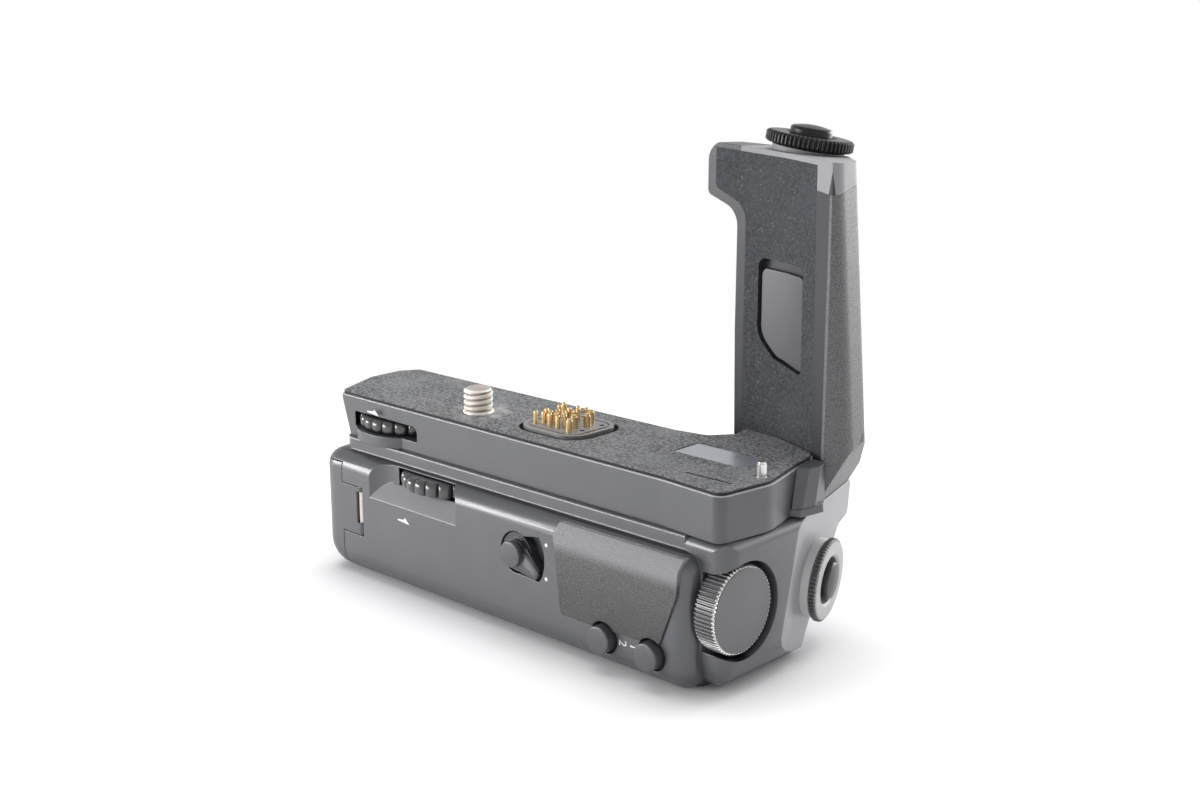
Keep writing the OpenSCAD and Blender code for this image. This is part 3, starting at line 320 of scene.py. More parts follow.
# %% Finish for the textured sheets
RUBBED_PATCH, SPARK_TONE, SLIT_TONE = (0.34, 0.34, 0.35), (0.33, 0.33, 0.34), (0.004, 0.004, 0.004)
def rough_sheet(name, tone, dust, rubbed=None, slit=None):
    """Rubber with a coarse grain, clouds of dust and sparse pale grains; worn round the point
    rubbed, cut along the line slit, and painted shade on its thin side wall."""
    p = Paint(name)
    coarse = p.noise(1.7, 3.0, 0.7)
    grit = p.cells(2.4)
    sparks = (1.0 - p.cells(1.3)).step(0.80, 0.90) * p.noise(0.6, 2.0).step(0.45, 0.62)
    cloud = p.noise(0.09, 4.0, 0.6)
    body = p.blend(coarse.step(0.40, 0.60), shaded(tone, 0.30), shaded(tone, 1.7))
    color = p.blend(cloud.step(0.40, 0.75) * 0.5, body, dust)
    if rubbed:
        worn = 1.0 - p.away(rubbed, (1.0, 1.0, 0.0)).step(3.5, 9.5)
        patches = p.noise(0.35, 4.0).step(0.38, 0.66)
        color = p.blend(worn * patches * 0.75, color, RUBBED_PATCH)
    color = p.blend(sparks * 0.6, color, SPARK_TONE)
    height = coarse * 0.7 + (1.0 - grit) * 0.4
    if slit:
        near = (p.beside(*slit) - p.noise(0.7, 1.0) * 0.3).step(0.05, 0.25)
        color = p.blend(near, SLIT_TONE, color)
        height = height * 0.5 + near * 1.5
        # Painted shade: the thin side wall below the sheet's surface is made near black.
        surface = slit[0][2]
        color = p.blend(p.height().step(surface - 0.30, surface - 0.22), (0.006, 0.006, 0.007), color)
    gloss = 0.70 + cloud * 0.1
    return p.finish(color, gloss, normal=p.bump(height, 0.14, p.edge(0.12)), specular=0.6)

sheet_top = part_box("base_sheet")[1][2] / MM
flap_slit = ((62.4, -3.6, sheet_top), (73.0, -3.3, sheet_top))
worn_at = (1.5, 0.5, 0.0)
base_rubber = rough_sheet("base_rubber", (0.110, 0.113, 0.117), (0.20, 0.203, 0.207), worn_at, flap_slit)
handle_rubber = rough_sheet("handle_rubber", (0.019, 0.022, 0.028), (0.044, 0.048, 0.056))
print("sheet finishes:", base_rubber.name, handle_rubber.name)

# %% [markdown]
# ## Metals
# The dials are anodised aluminium, turned on a lathe, so their faces carry fine
# rings that pull a highlight into two opposite fans. Where a cutter has taken
# the edge off after anodising, the bare metal shines. The screws are plain
# steel with a warm tint, darker in the thread's root, and the contact pins are
# plated with gold. Keys, wheels and printing ink use the same stained surface.

# %% Finishes for the metal pieces
RIM_TONE = (0.055, 0.055, 0.058)
def turned_metal(name, tone, rough, axle, rings=5.0, rim=None, specular=0.9):
    """Rings round an axle: noise read along the distance from it; dark outside the radius rim."""
    p = Paint(name)
    gap = p.node("VectorMath", {"operation": "SUBTRACT"}, {0: p.mm, 1: tuple(axle.at)})
    cross = p.node("VectorMath", {"operation": "CROSS_PRODUCT"}, {0: gap, 1: tuple(axle.along)})
    radius = p.node("VectorMath", {"operation": "LENGTH"}, {0: cross}, "Value")
    groove = p.noise(1.0, 3.0, 0.7, p.node("CombineXYZ", {}, {0: radius * rings}))
    color = p.blend(groove, shaded(tone, 0.8), shaded(tone, 1.2))
    if rim:
        color = p.blend(radius.step(rim - 0.1, rim + 0.1), color, RIM_TONE)
    normal = p.bump(groove, 0.006, p.edge(0.1))
    return p.finish(color, groove * 0.10 + (rough - 0.05), 0.0, normal, specular)

def plain_metal(name, tone, rough, per_mm=1.2, metal=1.0, specular=0.5, darker_core=None):
    """Faint stains in the colour and the gloss, and darker inside a radius: darker_core is
    (a point of the upright axis, radius where the darkening is full, radius of plain metal)."""
    p = Paint(name)
    stain = p.noise(per_mm, 4.0, 0.6)
    color = p.blend(stain, shaded(tone, 0.8), shaded(tone, 1.1))
    if darker_core:
        off_core = p.away(darker_core[0], (1.0, 1.0, 0.0)).step(*darker_core[1:])
        color = p.blend(off_core, shaded(tone, 0.42), color)
    normal = p.bump(p.noise(7.0), 0.006, p.edge(0.12))
    return p.finish(color, stain * 0.16 + (rough - 0.08), metal, normal, specular)

# %% The metals of the grip
screw_steel = plain_metal("screw_steel", (0.70, 0.63, 0.57), 0.34)
bright_steel = plain_metal("bright_steel", (0.80, 0.79, 0.78), 0.30)
root_darker = ((0.0, 0.0, 0.0), 2.55, 2.9)
thread_steel = plain_metal("thread_steel", (0.95, 0.86, 0.78), 0.50, 1.2, 0.4, darker_core=root_darker)
pin_gold = plain_metal("pin_gold", (0.82, 0.61, 0.33), 0.30, 2.0)
dark_screw = plain_metal("dark_screw", (0.06, 0.06, 0.062), 0.42)
bare_plate = plain_metal("bare_plate", (0.36, 0.37, 0.41), 0.24, 0.35, 0.6)
bright_edge = plain_metal("bright_edge", (0.80, 0.79, 0.77), 0.24, 2.0)
dial_black = plain_metal("dial_black", (0.110, 0.110, 0.116), 0.30, 1.0, 0.3, 1.0)
key_black = plain_metal("key_black", (0.060, 0.061, 0.067), 0.34, 1.0, 0.0, 0.8)
button_black = plain_metal("button_black", (0.010, 0.010, 0.011), 0.30, 1.0, 0.0, 0.35)
wheel_black = plain_metal("wheel_black", (0.045, 0.045, 0.049), 0.24, 1.0, 0.0, 1.0)
mark_white = plain_metal("mark_white", (0.80, 0.80, 0.81), 0.5, 1.0, 0.0)
print("metal finishes:", screw_steel.name, pin_gold.name, dial_black.name)

# %% [markdown]
# ## Softening the CAD surfaces
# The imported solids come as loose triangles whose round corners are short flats.
# A modifier may change how they look without touching the mesh: it joins the
# points that coincide, forgets the flat normals, and keeps an edge sharp only
# where its two faces meet at more than a set angle.

# %% Join and smooth by angle
SHARP_ABOVE, JOIN_WITHIN = 28, 0.002
def smoothing(limit_deg):
    """Geometry nodes that merge points by distance, then set every edge sharp above the limit."""
    group = bpy.data.node_groups.new(f"smooth_{limit_deg}", "GeometryNodeTree")
    for way in ("INPUT", "OUTPUT"):
        group.interface.new_socket("Geometry", in_out=way, socket_type="NodeSocketGeometry")
    start, end = group.nodes.new("NodeGroupInput"), group.nodes.new("NodeGroupOutput")
    merge = group.nodes.new("GeometryNodeMergeByDistance")
    merge.inputs["Distance"].default_value = JOIN_WITHIN * MM
    flat = group.nodes.new("GeometryNodeSetMeshNormal")
    flat.inputs["Remove Custom"].default_value = True
    turn = group.nodes.new("GeometryNodeInputMeshEdgeAngle")
    over = group.nodes.new("ShaderNodeMath")
    over.operation = "GREATER_THAN"
    over.inputs[1].default_value = math.radians(limit_deg)
    group.links.new(start.outputs[0], merge.inputs["Geometry"])
    group.links.new(merge.outputs[0], flat.inputs["Mesh"])
    group.links.new(turn.outputs["Unsigned Angle"], over.inputs[0])
    group.links.new(over.outputs[0], flat.inputs["Edge Sharpness"])
    group.links.new(flat.outputs[0], end.inputs[0])
    return group

smooth_group = smoothing(SHARP_ABOVE)
for node in nodes.values():
    joined = node.modifiers.new("join_and_smooth", "NODES")
    joined.node_group = smooth_group
    weighted = node.modifiers.new("flat_faces_first", "WEIGHTED_NORMAL")
    weighted.keep_sharp = True
print("smoothed pieces:", len(nodes))

# %% [markdown]
# ## Dressing the CAD pieces
# Most pieces keep their CAD shape and only need their finish. One table from
# finish to pieces is easier to check against the photograph than a line for
# each piece.

# %% Hand the finishes to the CAD pieces
coats = {
    case_plastic: ["battery_door"],
    holder_plastic: ["holder_case"],
    handle_plastic: ["handle_case"],
    cap_plastic: ["handle_cap"],
    base_plastic: ["grip_base_case"],
    cover_plastic: ["holder_top_plate", "holder_bottom_cover", "grip_base_floor"],
    smooth_plastic: ["handle_pad"],
    pale_plastic: ["contact_block"],
    dark_plastic: ["holder_contact_block", "jack_cover", "door_latch", "lock_lever"],
    thumb_leather: ["thumb_rest", "finger_leather"],
    grip_leather: ["handle_leather"],
    base_rubber: ["base_sheet"],
    handle_rubber: ["handle_sheet"],
    soft_rubber: ["contact_gasket", "door_seal"],
    screw_steel: ["tripod_insert", "hinge_pin", "bearing_plate", "bearing_screws",
                  "grip_socket", "wheel_post", "idler_stud", "rear_dial_axle"],
    bright_steel: ["guide_pin"],
    pin_gold: ["contact_pins", "power_pins", "holder_contact_pins", "battery_contacts",
               "grip_contact_pads"],
    dark_screw: ["bottom_screws", "floor_screws"],
    bare_plate: ["label_plate"],
    circuit_green: ["main_board"],
    gear_white: ["wheel_gear", "idler_gear", "screw_gear"],
}
def coat(piece, material):
    """Gives the piece this one finish."""
    piece.data.materials.clear()
    piece.data.materials.append(material)

for material, names in coats.items():
    for name in names:
        coat(nodes[name], material)
print("nodes that keep their CAD shape:", sum(len(names) for names in coats.values()))

# %% [markdown]
# ## Surfaces from numbers
# Every remade part is turned on an axle or carried along a line, so it is a grid
# of points worked out from two parameters. A grid of quads joins them, and rings
# that shrink to a point are merged, which closes the surface there. The axles
# come from the joints of the frame, and the reach of a part from its CAD node.

# %% Grids and pieces
def weave(rows, cols):
    """Quads of a grid of rows by cols points whose last column meets the first: each point is
    joined to the next one in its row and to the two above them."""
    i, j = np.meshgrid(np.arange(rows - 1), np.arange(cols), indexing="ij")
    k = (j + 1) % cols
    here, above = i * cols, (i + 1) * cols
    return np.stack([here + j, here + k, above + k, above + j], -1).reshape(-1, 4)

def piece(name, grids, body, stands_for, slot, material, sharp_deg=35):
    """One object in place from grids of points in mm: merged at the poles, faces outward."""
    counts = np.cumsum([0] + [g.shape[0] * g.shape[1] for g in grids])
    faces = np.concatenate([weave(*g.shape[:2]) + c for g, c in zip(grids, counts)])
    points = np.concatenate([g.reshape(-1, 3) for g in grids]) * MM
    mesh = bpy.data.meshes.new(name)
    mesh.from_pydata(points.tolist(), [], faces.tolist())
    work = bmesh.new()
    work.from_mesh(mesh)
    bmesh.ops.remove_doubles(work, verts=work.verts, dist=1e-7)
    bmesh.ops.recalc_face_normals(work, faces=work.faces)
    work.to_mesh(mesh)
    work.free()
    mesh.polygons.foreach_set("use_smooth", np.ones(len(mesh.polygons), bool))
    mesh.set_sharp_from_angle(angle=math.radians(sharp_deg))
    return settle(bpy.data.objects.new(name, mesh), body, stands_for, material)

def settle(made, body, stands_for, material):
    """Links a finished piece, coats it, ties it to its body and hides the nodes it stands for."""
    bpy.context.scene.collection.objects.link(made)
    coat(made, material)
    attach(made, body)
    if stands_for:
        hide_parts(*stands_for)
    return made
print("quads in a grid of 3 by 8 points:", len(weave(3, 8)))

# %% Axles
class Axle:
    """A line in space, with two directions across it: a place is height, radius and angle."""
    def __init__(self, point_mm, along):
        self.at = np.array(point_mm, float)
        self.along = np.array(along, float) / np.linalg.norm(along)
        helper = (0.0, 0.0, 1.0) if abs(self.along[2]) < 0.9 else (0.0, 1.0, 0.0)
        side = np.cross(helper, self.along)
        self.right = side / np.linalg.norm(side)
        self.up = np.cross(self.along, self.right)
    def place(self, height, radius, angle):
        """at + height along the axle + radius in the direction of angle across it."""
        height, radius, angle = np.broadcast_arrays(height, radius, angle)
        across = np.cos(angle)[..., None] * self.right + np.sin(angle)[..., None] * self.up
        return self.at + height[..., None] * self.along + radius[..., None] * across
    def reach(self, node):
        """Lowest and highest height of a CAD node along the axle, and its largest radius."""
        mesh = nodes[node].data
        flat = np.empty(len(mesh.vertices) * 3, np.float32)
        mesh.vertices.foreach_get("co", flat)
        gap = flat.reshape(-1, 3) / MM - self.at
        high = gap @ self.along
        out = np.linalg.norm(gap - high[:, None] * self.along, axis=1)
        return float(high.min()), float(high.max()), float(out.max())

def joint_axle(body):
    """The axle of the joint that turns this body."""
    joint = next(j for j in frame["joints"] if j["child"] == body)
    return Axle(np.array(joint["pos_m"]) / MM, joint["axis"])
portrait, top_axle, rear = (joint_axle(body) for body in ("portrait_dial", "top_dial", "rear_dial"))

# %% Profiles and turned parts
def rounded(corners, steps=5):
    """Corner list (height, radius, round) to a profile, each corner an arc tangent to both sides."""
    line = []
    for n, (h, r, size) in enumerate(corners):
        here = np.array([h, r], float)
        if size == 0:
            line.append(here)
            continue
        to_last = np.array(corners[n - 1][:2]) - here
        to_next = np.array(corners[(n + 1) % len(corners)][:2]) - here
        a, b = to_last / np.linalg.norm(to_last), to_next / np.linalg.norm(to_next)
        half = math.acos(np.clip(a @ b, -1, 1)) / 2
        centre = here + (a + b) / np.linalg.norm(a + b) * size / math.sin(half)
        reach = size / math.tan(half)
        start, end = here + a * reach - centre, here + b * reach - centre
        for t in np.linspace(0, 1, steps):
            spoke = start * (1 - t) + end * t
            line.append(centre + spoke / np.linalg.norm(spoke) * size)
    return np.array(line)

def turned(axle, profile, columns=96, relief=None):
    """Grid of a turned part: radius = profile radius + relief(angle, height, radius)."""
    angle = np.arange(columns)[None, :] * 2 * np.pi / columns
    height, radius = profile[:, 0][:, None], profile[:, 1][:, None]
    if relief:
        radius = radius + relief(angle, height, radius)
    return axle.place(height, radius, angle)

def ring_of(corners, steps):
    """Closed profile of a ring that doesn't touch its axle: the rounded corners, back to the first."""
    line = rounded(corners, steps)
    return np.concatenate([line, line[:1]])
print("points in a square ring:", len(ring_of([(0, 1, 0), (0, 2, 0), (1, 2, 0), (1, 1, 0)], 2)))

# %% [markdown]
# ## Buttons
# The shutter buttons are turned caps with a crowned top and a soft rim, and the
# function buttons are flat cylinders whose edge is broken. A profile turned once
# round its axle is all they need: the crown is a shallow parabola. A wider
# flange under the cap stays in the wall and keeps the button in its hole.

# %% Shutter buttons and function buttons
def crowned(low, high, radius, crown, rim, flange=None):
    """Profile of a button: pole, wall, soft rim, and a top that rises by crown as a parabola."""
    foot = [(low, 0.0, 0), (low, radius, 0)]
    if flange:
        wide, thick = flange
        foot = [(low, 0.0, 0), (low, wide, 0.2), (low + thick, wide, 0.2), (low + thick, radius, 0)]
    wall = rounded(foot + [(high - crown, radius, rim), (high - crown, 0.0, 0)], 7)[:-1]
    edge = radius - rim
    inner = np.linspace(edge, 0.0, 9)
    top = np.stack([high - crown * (inner / edge) ** 2, inner], -1)
    return np.concatenate([wall, top[1:]])

low, high, wide = portrait.reach("portrait_shutter")
piece("portrait_button", [turned(portrait, crowned(low, high, 3.8, 0.35, 0.55, (wide, 1.2)))],
      "portrait_shutter", ["portrait_shutter"], "dial", button_dark)
low, high, wide = top_axle.reach("grip_shutter")
piece("top_button", [turned(top_axle, crowned(low, high, wide, 0.45, 0.7))],
      "top_shutter", ["grip_shutter"], "dial", button_black)
for n in (1, 2):
    box_low, box_high = (np.array(c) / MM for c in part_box(f"function_button_{n}"))
    middle = (box_low + box_high) / 2
    push = Axle((middle[0], box_low[1], middle[2]), (0, -1, 0))
    low, high, wide = push.reach(f"function_button_{n}")
    key = crowned(low, high, wide - 1.1, 0.12, 0.35, (wide, 0.8))
    piece(f"function_key_{n}", [turned(push, key, 72)],
          f"button_{n}", [f"function_button_{n}"], "dark", key_black)
print("buttons remade: 4")

# %% [markdown]
# ## Dials
# Each dial is a ring with a straight knurl, cut as teeth with narrow valleys. A
# cutter then breaks the front edge. On the rear dial that cut goes through the
# black anodising, so every tooth ends in a bright point; it is a ring of its own
# here, with the same teeth, so that it can have the bare metal. A knurl as a
# bump would stay round in outline, so the teeth are in the radius.

# %% Rear dial
def valley(count, angle, bias, slope):
    """1 in the valleys between count teeth and 0 on the teeth: a soft step of the cosine."""
    wave = np.clip((np.cos(count * angle) + bias) * slope, 0, 1)
    return 1 - wave * wave * (3 - 2 * wave)

TEETH, TOOTH_DEPTH = 64, 0.46
low, high, wide = rear.reach("rear_dial")
top = rear.reach("rear_dial_cap")[1]
chamfer, face_radius = 0.42, wide - 0.56
shoulder = high - chamfer
def rear_teeth(angle, height, radius):
    """The full depth of a valley at every height, but only outside the dial's face."""
    return -TOOTH_DEPTH * valley(TEETH, angle, 0.45, 1.5) * (radius > face_radius + 0.04)

knurl = np.array([(low, 0.0), (low, wide - 0.35)]
                 + [(h, wide) for h in np.linspace(low + 0.35, shoulder, 7)]
                 + [(shoulder, face_radius - 1.0), (shoulder, 0.0)])
piece("rear_dial_knurl", [turned(rear, knurl, TEETH * 8, rear_teeth)],
      "rear_dial", ["rear_dial"], "dial", dial_black)
cut_edge = np.array([(shoulder - 0.05, face_radius - 0.6), (shoulder - 0.001, wide - 0.02),
                     (high - 0.14, wide - 0.25), (high, face_radius + 0.16),
                     (high - 0.02, face_radius + 0.02), (high - 0.3, face_radius - 0.02),
                     (shoulder - 0.05, face_radius - 0.6)])
piece("rear_dial_edge", [turned(rear, cut_edge, TEETH * 8, rear_teeth)],
      "rear_dial", [], "steel", bright_edge)
face_rear = turned_metal("face_rear", (0.086, 0.087, 0.094), 0.30, rear)
under = shoulder - 0.1
disc = rounded([(under, face_radius - 0.05, 0), (top, face_radius - 0.05, 0.12), (top - 0.04, 0.0, 0)], 5)
piece("rear_dial_face", [turned(rear, np.concatenate([[(under, 0.0)], disc]), 120)],
      "rear_dial", ["rear_dial_cap"], "cap", face_rear)
print("teeth of the rear dial:", TEETH)

# %% Portrait dial and top dial
HUB, BORE = 5.5, 4.8
def ring_dial(name, node, axle, body, count, depth, knurl_low, face_material):
    """A flat knurled dial on a hub: closed profile from the hub, round the rim and down the bore."""
    low, high, wide = axle.reach(node)
    line = ring_of([(low, BORE, 0), (low, HUB, 0.1), (knurl_low, HUB, 0), (knurl_low, wide - 0.5, 0.1),
                    (knurl_low + 0.35, wide, 0), (high - 0.45, wide, 0), (high - 0.08, wide - 0.5, 0.15),
                    (high, wide - 0.9, 0.1), (high, BORE + 0.75, 0.1), (high - 0.35, BORE + 0.1, 0.1)], 4)
    def relief(angle, height, radius):
        return -depth * valley(count, angle, 0.5, 1.4) * np.clip((radius - wide + 0.75) / 0.4, 0, 1)
    return piece(name, [turned(axle, line, count * 8, relief)], body, [node], "dial", face_material)

ring_low, _, ring_wide = portrait.reach("portrait_dial")
ring_seat, collar_bore = 1.85, 5.8
collar_top = ring_seat - 0.15
collar = ring_of([(ring_low, collar_bore, 0), (ring_low, ring_wide - 0.3, 0),
                  (collar_top, ring_wide - 0.5, 0.1), (collar_top, collar_bore, 0)], 4)
piece("portrait_collar", [turned(portrait, collar, 96)], "holder", [], "case", collar_painted_light)
face_portrait = turned_metal("face_portrait", (0.36, 0.357, 0.36), 0.34, portrait, 4.0, ring_wide - 0.45)
face_top = turned_metal("face_top", (0.012, 0.012, 0.013), 0.34, top_axle, 4.0, specular=0.4)
ring_dial("portrait_ring", "portrait_dial", portrait, "portrait_dial", 64, 0.38, ring_seat, face_portrait)
ring_dial("top_ring", "grip_dial", top_axle, "top_dial", 58, 0.5, 1.9, face_top)
print("dials remade: 3")

# %% [markdown]
# ## Lock wheels
# Two wheels peep out of slots in the rear wall. Their rims are rows of polished
# beads that a thumb can push. Each bead is a superellipse both along the rim and
# from its foot to its top, which gives a full cushion with a narrow gap beside
# it. A sine would give a wavy rim without gaps.

# %% Beaded lock wheels
BEADS, GAP_DEPTH, EDGE_DROP, WEB = 23, 1.3, 1.2, 2.4
def superellipse(t, power):
    """Drop of a superellipse below its top, from 0 at t = 0 to 1 at t = -1 and 1."""
    return 1 - np.clip(1 - np.abs(t) ** power, 0, 1) ** (1 / power)

def bead_wheel(name, node, body, bore):
    """Radius = outer radius - drop along the rim - drop from the middle of the wheel upwards."""
    axle = joint_axle(body)
    low, high, wide = axle.reach(node)
    t = np.sin(np.linspace(-0.5, 0.5, 25) * np.pi)
    rim = np.stack([(low + high) / 2 + t * (high - low) / 2, wide - EDGE_DROP * superellipse(t, 2.6)], -1)
    line = np.concatenate([[(low, bore), (low, wide - WEB)], rim,
                           [(high, wide - WEB), (high, bore), (low, bore)]])
    def relief(angle, height, radius):
        turn = (BEADS * angle / (2 * np.pi)) % 1.0 * 2 - 1
        return -GAP_DEPTH * superellipse(turn, 2.4) * np.clip((radius - wide + 2.0) / 1.0, 0, 1)
    return piece(name, [turned(axle, line, BEADS * 20, relief)], body, [node], "dark", wheel_black, 75)

bead_wheel("camera_wheel_beads", "camera_lock_wheel", "camera_wheel", 2.06)
bead_wheel("holder_wheel_beads", "holder_lock_wheel", "holder_wheel", 3.1)
print("wheels remade: 2")

# %% [markdown]
# ## Screws with a true thread
# The CAD screws have rings for threads, which is enough for a fit. Here the
# crest climbs one pitch in each turn: the radius at a height is the root plus a
# ridge that depends on height / pitch - angle / one turn, and the ridge fades in
# at the bottom and out at the chamfered end. A rubber washer, flush with the
# sheet, lies round the camera screw's flange.

# %% A screw with a helix
PITCH, TIP = 1.27, 0.75
def screw(name, node, axle, body, shank, thread_low, major, root):
    """Shank profile, then thread rows: root + (major - root) * ridge(height / PITCH - turn)."""
    low, high, _ = axle.reach(node)
    rows = np.linspace(thread_low, high, int((high - thread_low) / PITCH * 16))
    lower = np.array([(low, 0.0)] + shank)
    line = np.concatenate([lower, np.stack([rows, np.full(len(rows), root)], -1), [[high, 0.0]]])
    def relief(angle, height, radius):
        turn = (height / PITCH - angle / (2 * np.pi)) % 1.0
        ridge = np.clip(0.95 - 1.1 * np.cos(2 * np.pi * turn), 0, 1)
        fade = np.clip((height - thread_low) / 0.5, 0, 1)
        grown = (major - root) * ridge * fade
        limit = np.where(height > high - TIP, major - 0.9 * (height - high + TIP) ** 1.5, major)
        on_thread = (height >= thread_low) & (radius > 0)
        return np.where(on_thread, np.minimum(root + grown, limit) - radius, 0.0)
    return piece(name, [turned(axle, line, 96, relief)], body, [node], "steel", thread_steel, 60)
print("threads of pitch", PITCH)

# %% Camera screw, its washer and the holder screw
camera_axle = joint_axle("camera_screw")
seat = sheet_top - camera_axle.at[2]
screw("camera_screw_thread", "camera_screw", camera_axle, "camera_screw",
      [(-1.8, 1.44), (-1.8, 2.0), (-0.12, 2.0), (-0.12, 3.0), (seat - 0.6, 3.0), (seat - 0.6, 3.4),
       (seat + 0.25, 3.4), (seat + 0.45, 3.2), (seat + 0.45, 2.6)], seat + 0.46, 3.175, 2.45)
washer_in, washer_out, proud = 3.5, 4.6, 0.03
washer = ring_of([(seat - 0.5, washer_in, 0), (seat - 0.5, washer_out, 0),
                  (seat + proud, washer_out, 0.02), (seat + proud, washer_in, 0.02)], 3)
piece("screw_washer", [turned(camera_axle, washer, 96)], "camera_grip", [], "sheet", base_rubber)
holder_axle = joint_axle("holder_wheel")
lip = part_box("holder_case")[1][2] / MM - holder_axle.at[2]
foot = holder_axle.reach("holder_screw")[0]
screw("holder_screw_thread", "holder_screw", holder_axle, "holder_wheel",
      [(foot, 3.1), (foot + 3.35, 3.1), (foot + 3.35, 4.5), (lip - 2.6, 4.5),
       (lip - 2.4, 4.3), (lip - 2.4, 2.5)], lip - 2.39, 3.1, 2.5)
print("screws remade: 2")

# %% [markdown]
# ## Lock lever
# The lever turns in a shallow well. Its arm is a roof: the two slopes meet in a
# ridge that runs from the knob to the tip and gets lower and narrower on the
# way. It lies on the CAD lever, which stays, and the knob is a turned cap with
# a rounded edge.

# %% Ridge of the lever and its knob
ARM_DROP = math.radians(29.0)
lever = joint_axle("lock_lever")
arm_low, arm_high, _ = lever.reach("lock_lever")
base = arm_high if lever.along[1] < 0 else -arm_low
arm = np.array([math.cos(ARM_DROP), 0.0, -math.sin(ARM_DROP)])
aside = np.cross(arm, lever.along)
t = np.linspace(0.0, 1.0, 24)[:, None]
across = np.array([-1.0, -0.94, -0.5, -0.06, 0.0, 0.06, 0.5, 0.94, 1.0, 0.9, -0.9])[None, :]
roof = np.array([0.0, 0.12, 0.52, 0.93, 0.97, 0.93, 0.52, 0.12, 0.0, -0.6, -0.6])[None, :]
def lever_ridge():
    """Point = axle + arm * (2 + 5.7 t) + aside * width(t) * across + (base + rise(t) * roof) along
    the axle. end(t) rounds the tip: a quarter circle over the last 14 hundredths."""
    end = np.sqrt(np.clip(1 - np.clip((t - 0.86) / 0.14, 0, 1) ** 2, 0, 1))
    width = (3.1 - 2.0 * t) * end
    rise = (0.95 - 0.35 * t) * (0.35 + 0.65 * end)
    middle = lever.at[None, None, :] + arm * (2.0 + 5.7 * t)[..., None]
    lift = base - 0.35 + rise * roof
    return middle + aside * (width * across)[..., None] + lever.along * lift[..., None]

rows = lever_ridge()
first, last = rows[:1].mean(1, keepdims=True), rows[-1:].mean(1, keepdims=True)
count = across.size
closed = np.concatenate([np.repeat(first, count, 1), rows, np.repeat(last, count, 1)])
piece("lever_ridge", [closed], "lock_lever", [], "dark", key_black, 30)
low, high, wide = lever.reach("lever_knob")
knob = rounded([(low, 0.0, 0), (low, 2.4, 0), (low + 0.15, 2.4, 0), (low + 0.15, wide, 0.1),
                (high - 0.1, wide, 0.28), (high, 0.0, 0)], 5)
piece("lever_knob_cap", [turned(lever, knob, 72)], "lock_lever", ["lever_knob"], "dark", key_black)
print("lever arm direction:", arm.round(2))

# %% [markdown]
# ## Heel of the handle
# Where the handle meets the base, its wall comes down beside the base's end as
# two leaning bands, and stands on a thin flange. Both are prisms between two
# outlines, one at the foot and one higher up. Corners that are only listed keep
# the faces flat, which a smooth surface would lose.

# %% Heel and flange
def prism(name, low, high, foot, head, body, slot, material):
    """Closed prism: the outline foot at height low joined to the outline head at height high."""
    rings = [np.column_stack([np.array(outline, float), np.full(len(outline), z)])
             for outline, z in ((foot, low), (head, high))]
    ends = [np.repeat(r.mean(0)[None], len(r), 0) for r in rings]
    return piece(name, [np.stack([ends[0], *rings, ends[1]])], body, [], slot, material, 15)

prism("heel_flange", 31.15, 32.6,
      [(75.0, 12.2), (77.2, 13.3), (78.0, 17.4), (78.3, 19.2), (76.5, 22), (73.5, 22)],
      [(75.1, 12.5), (77.0, 13.5), (77.8, 17.4), (78.1, 19.2), (76.5, 22), (73.5, 22)],
      "camera_grip", "case", case_plastic)
prism("heel_bands", 32.5, 40.4,
      [(75.3, 12.6), (77.0, 14.0), (77.6, 17.3), (76.6, 21.8), (73.5, 21.8)],
      [(74.6, 14.9), (76.8, 16.2), (77.5, 19.0), (76.6, 21.8), (73.5, 21.8)],
      "camera_grip", "case", case_plastic)
print("heel pieces: 2")

# %% [markdown]
# ## Printed marks
# White dots show the two places of the lever, wedges show which way a wheel
# turns, and plain digits tell the two keys apart. Ink has no thickness to speak
# of, so each mark is a sheet of three hundredths of a millimetre on the wall.

# %% Dots beside the lever
INK = 0.03
wall_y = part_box("holder_case")[0][1] / MM
base_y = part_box("base_sheet")[0][1] / MM - 0.5
DOT_PLACES, DOT_RADIUS = ((34.16, 21.99), (34.08, 14.69)), 0.42
disc = np.array([(-0.01, 0.0), (-0.01, DOT_RADIUS), (INK, DOT_RADIUS - 0.02), (INK, 0.0)])
for n, (x, z) in enumerate(DOT_PLACES):
    dot = Axle((x, wall_y, z), (0, -1, 0))
    piece(f"lever_dot_{n + 1}", [turned(dot, disc, 32)], "holder", [], "gear", mark_white)
print("wall of the holder at y =", round(wall_y, 2))

# %% Wedges beside the wheels
def wedge(name, y, x, z, body):
    """A flat arrow of 3.9 by 1.3 mm, from its corners: a low tail, then a fin that rises and falls."""
    corners = np.array([(0, 0), (3.9, -0.3), (2.5, 1.0), (2.0, 0.45), (0.1, 0.3)]) + (x, z)
    def ring(depth):
        return np.stack([corners[:, 0], np.full(len(corners), depth), corners[:, 1]], -1)[None]
    rings = np.concatenate([ring(y + 0.01), ring(y - INK)])
    ends = [np.repeat(rings[k:k + 1].mean(1, keepdims=True), len(corners), 1) for k in (0, 1)]
    return piece(name, [np.concatenate([ends[0], rings, ends[1]])], body, [], "gear", mark_white)

wedge("holder_arrow", wall_y, -12.2, 16.6, "holder")
wedge("base_arrow", base_y, -26.6, 37.85, "camera_grip")
print("wall of the base at y =", round(base_y, 2))

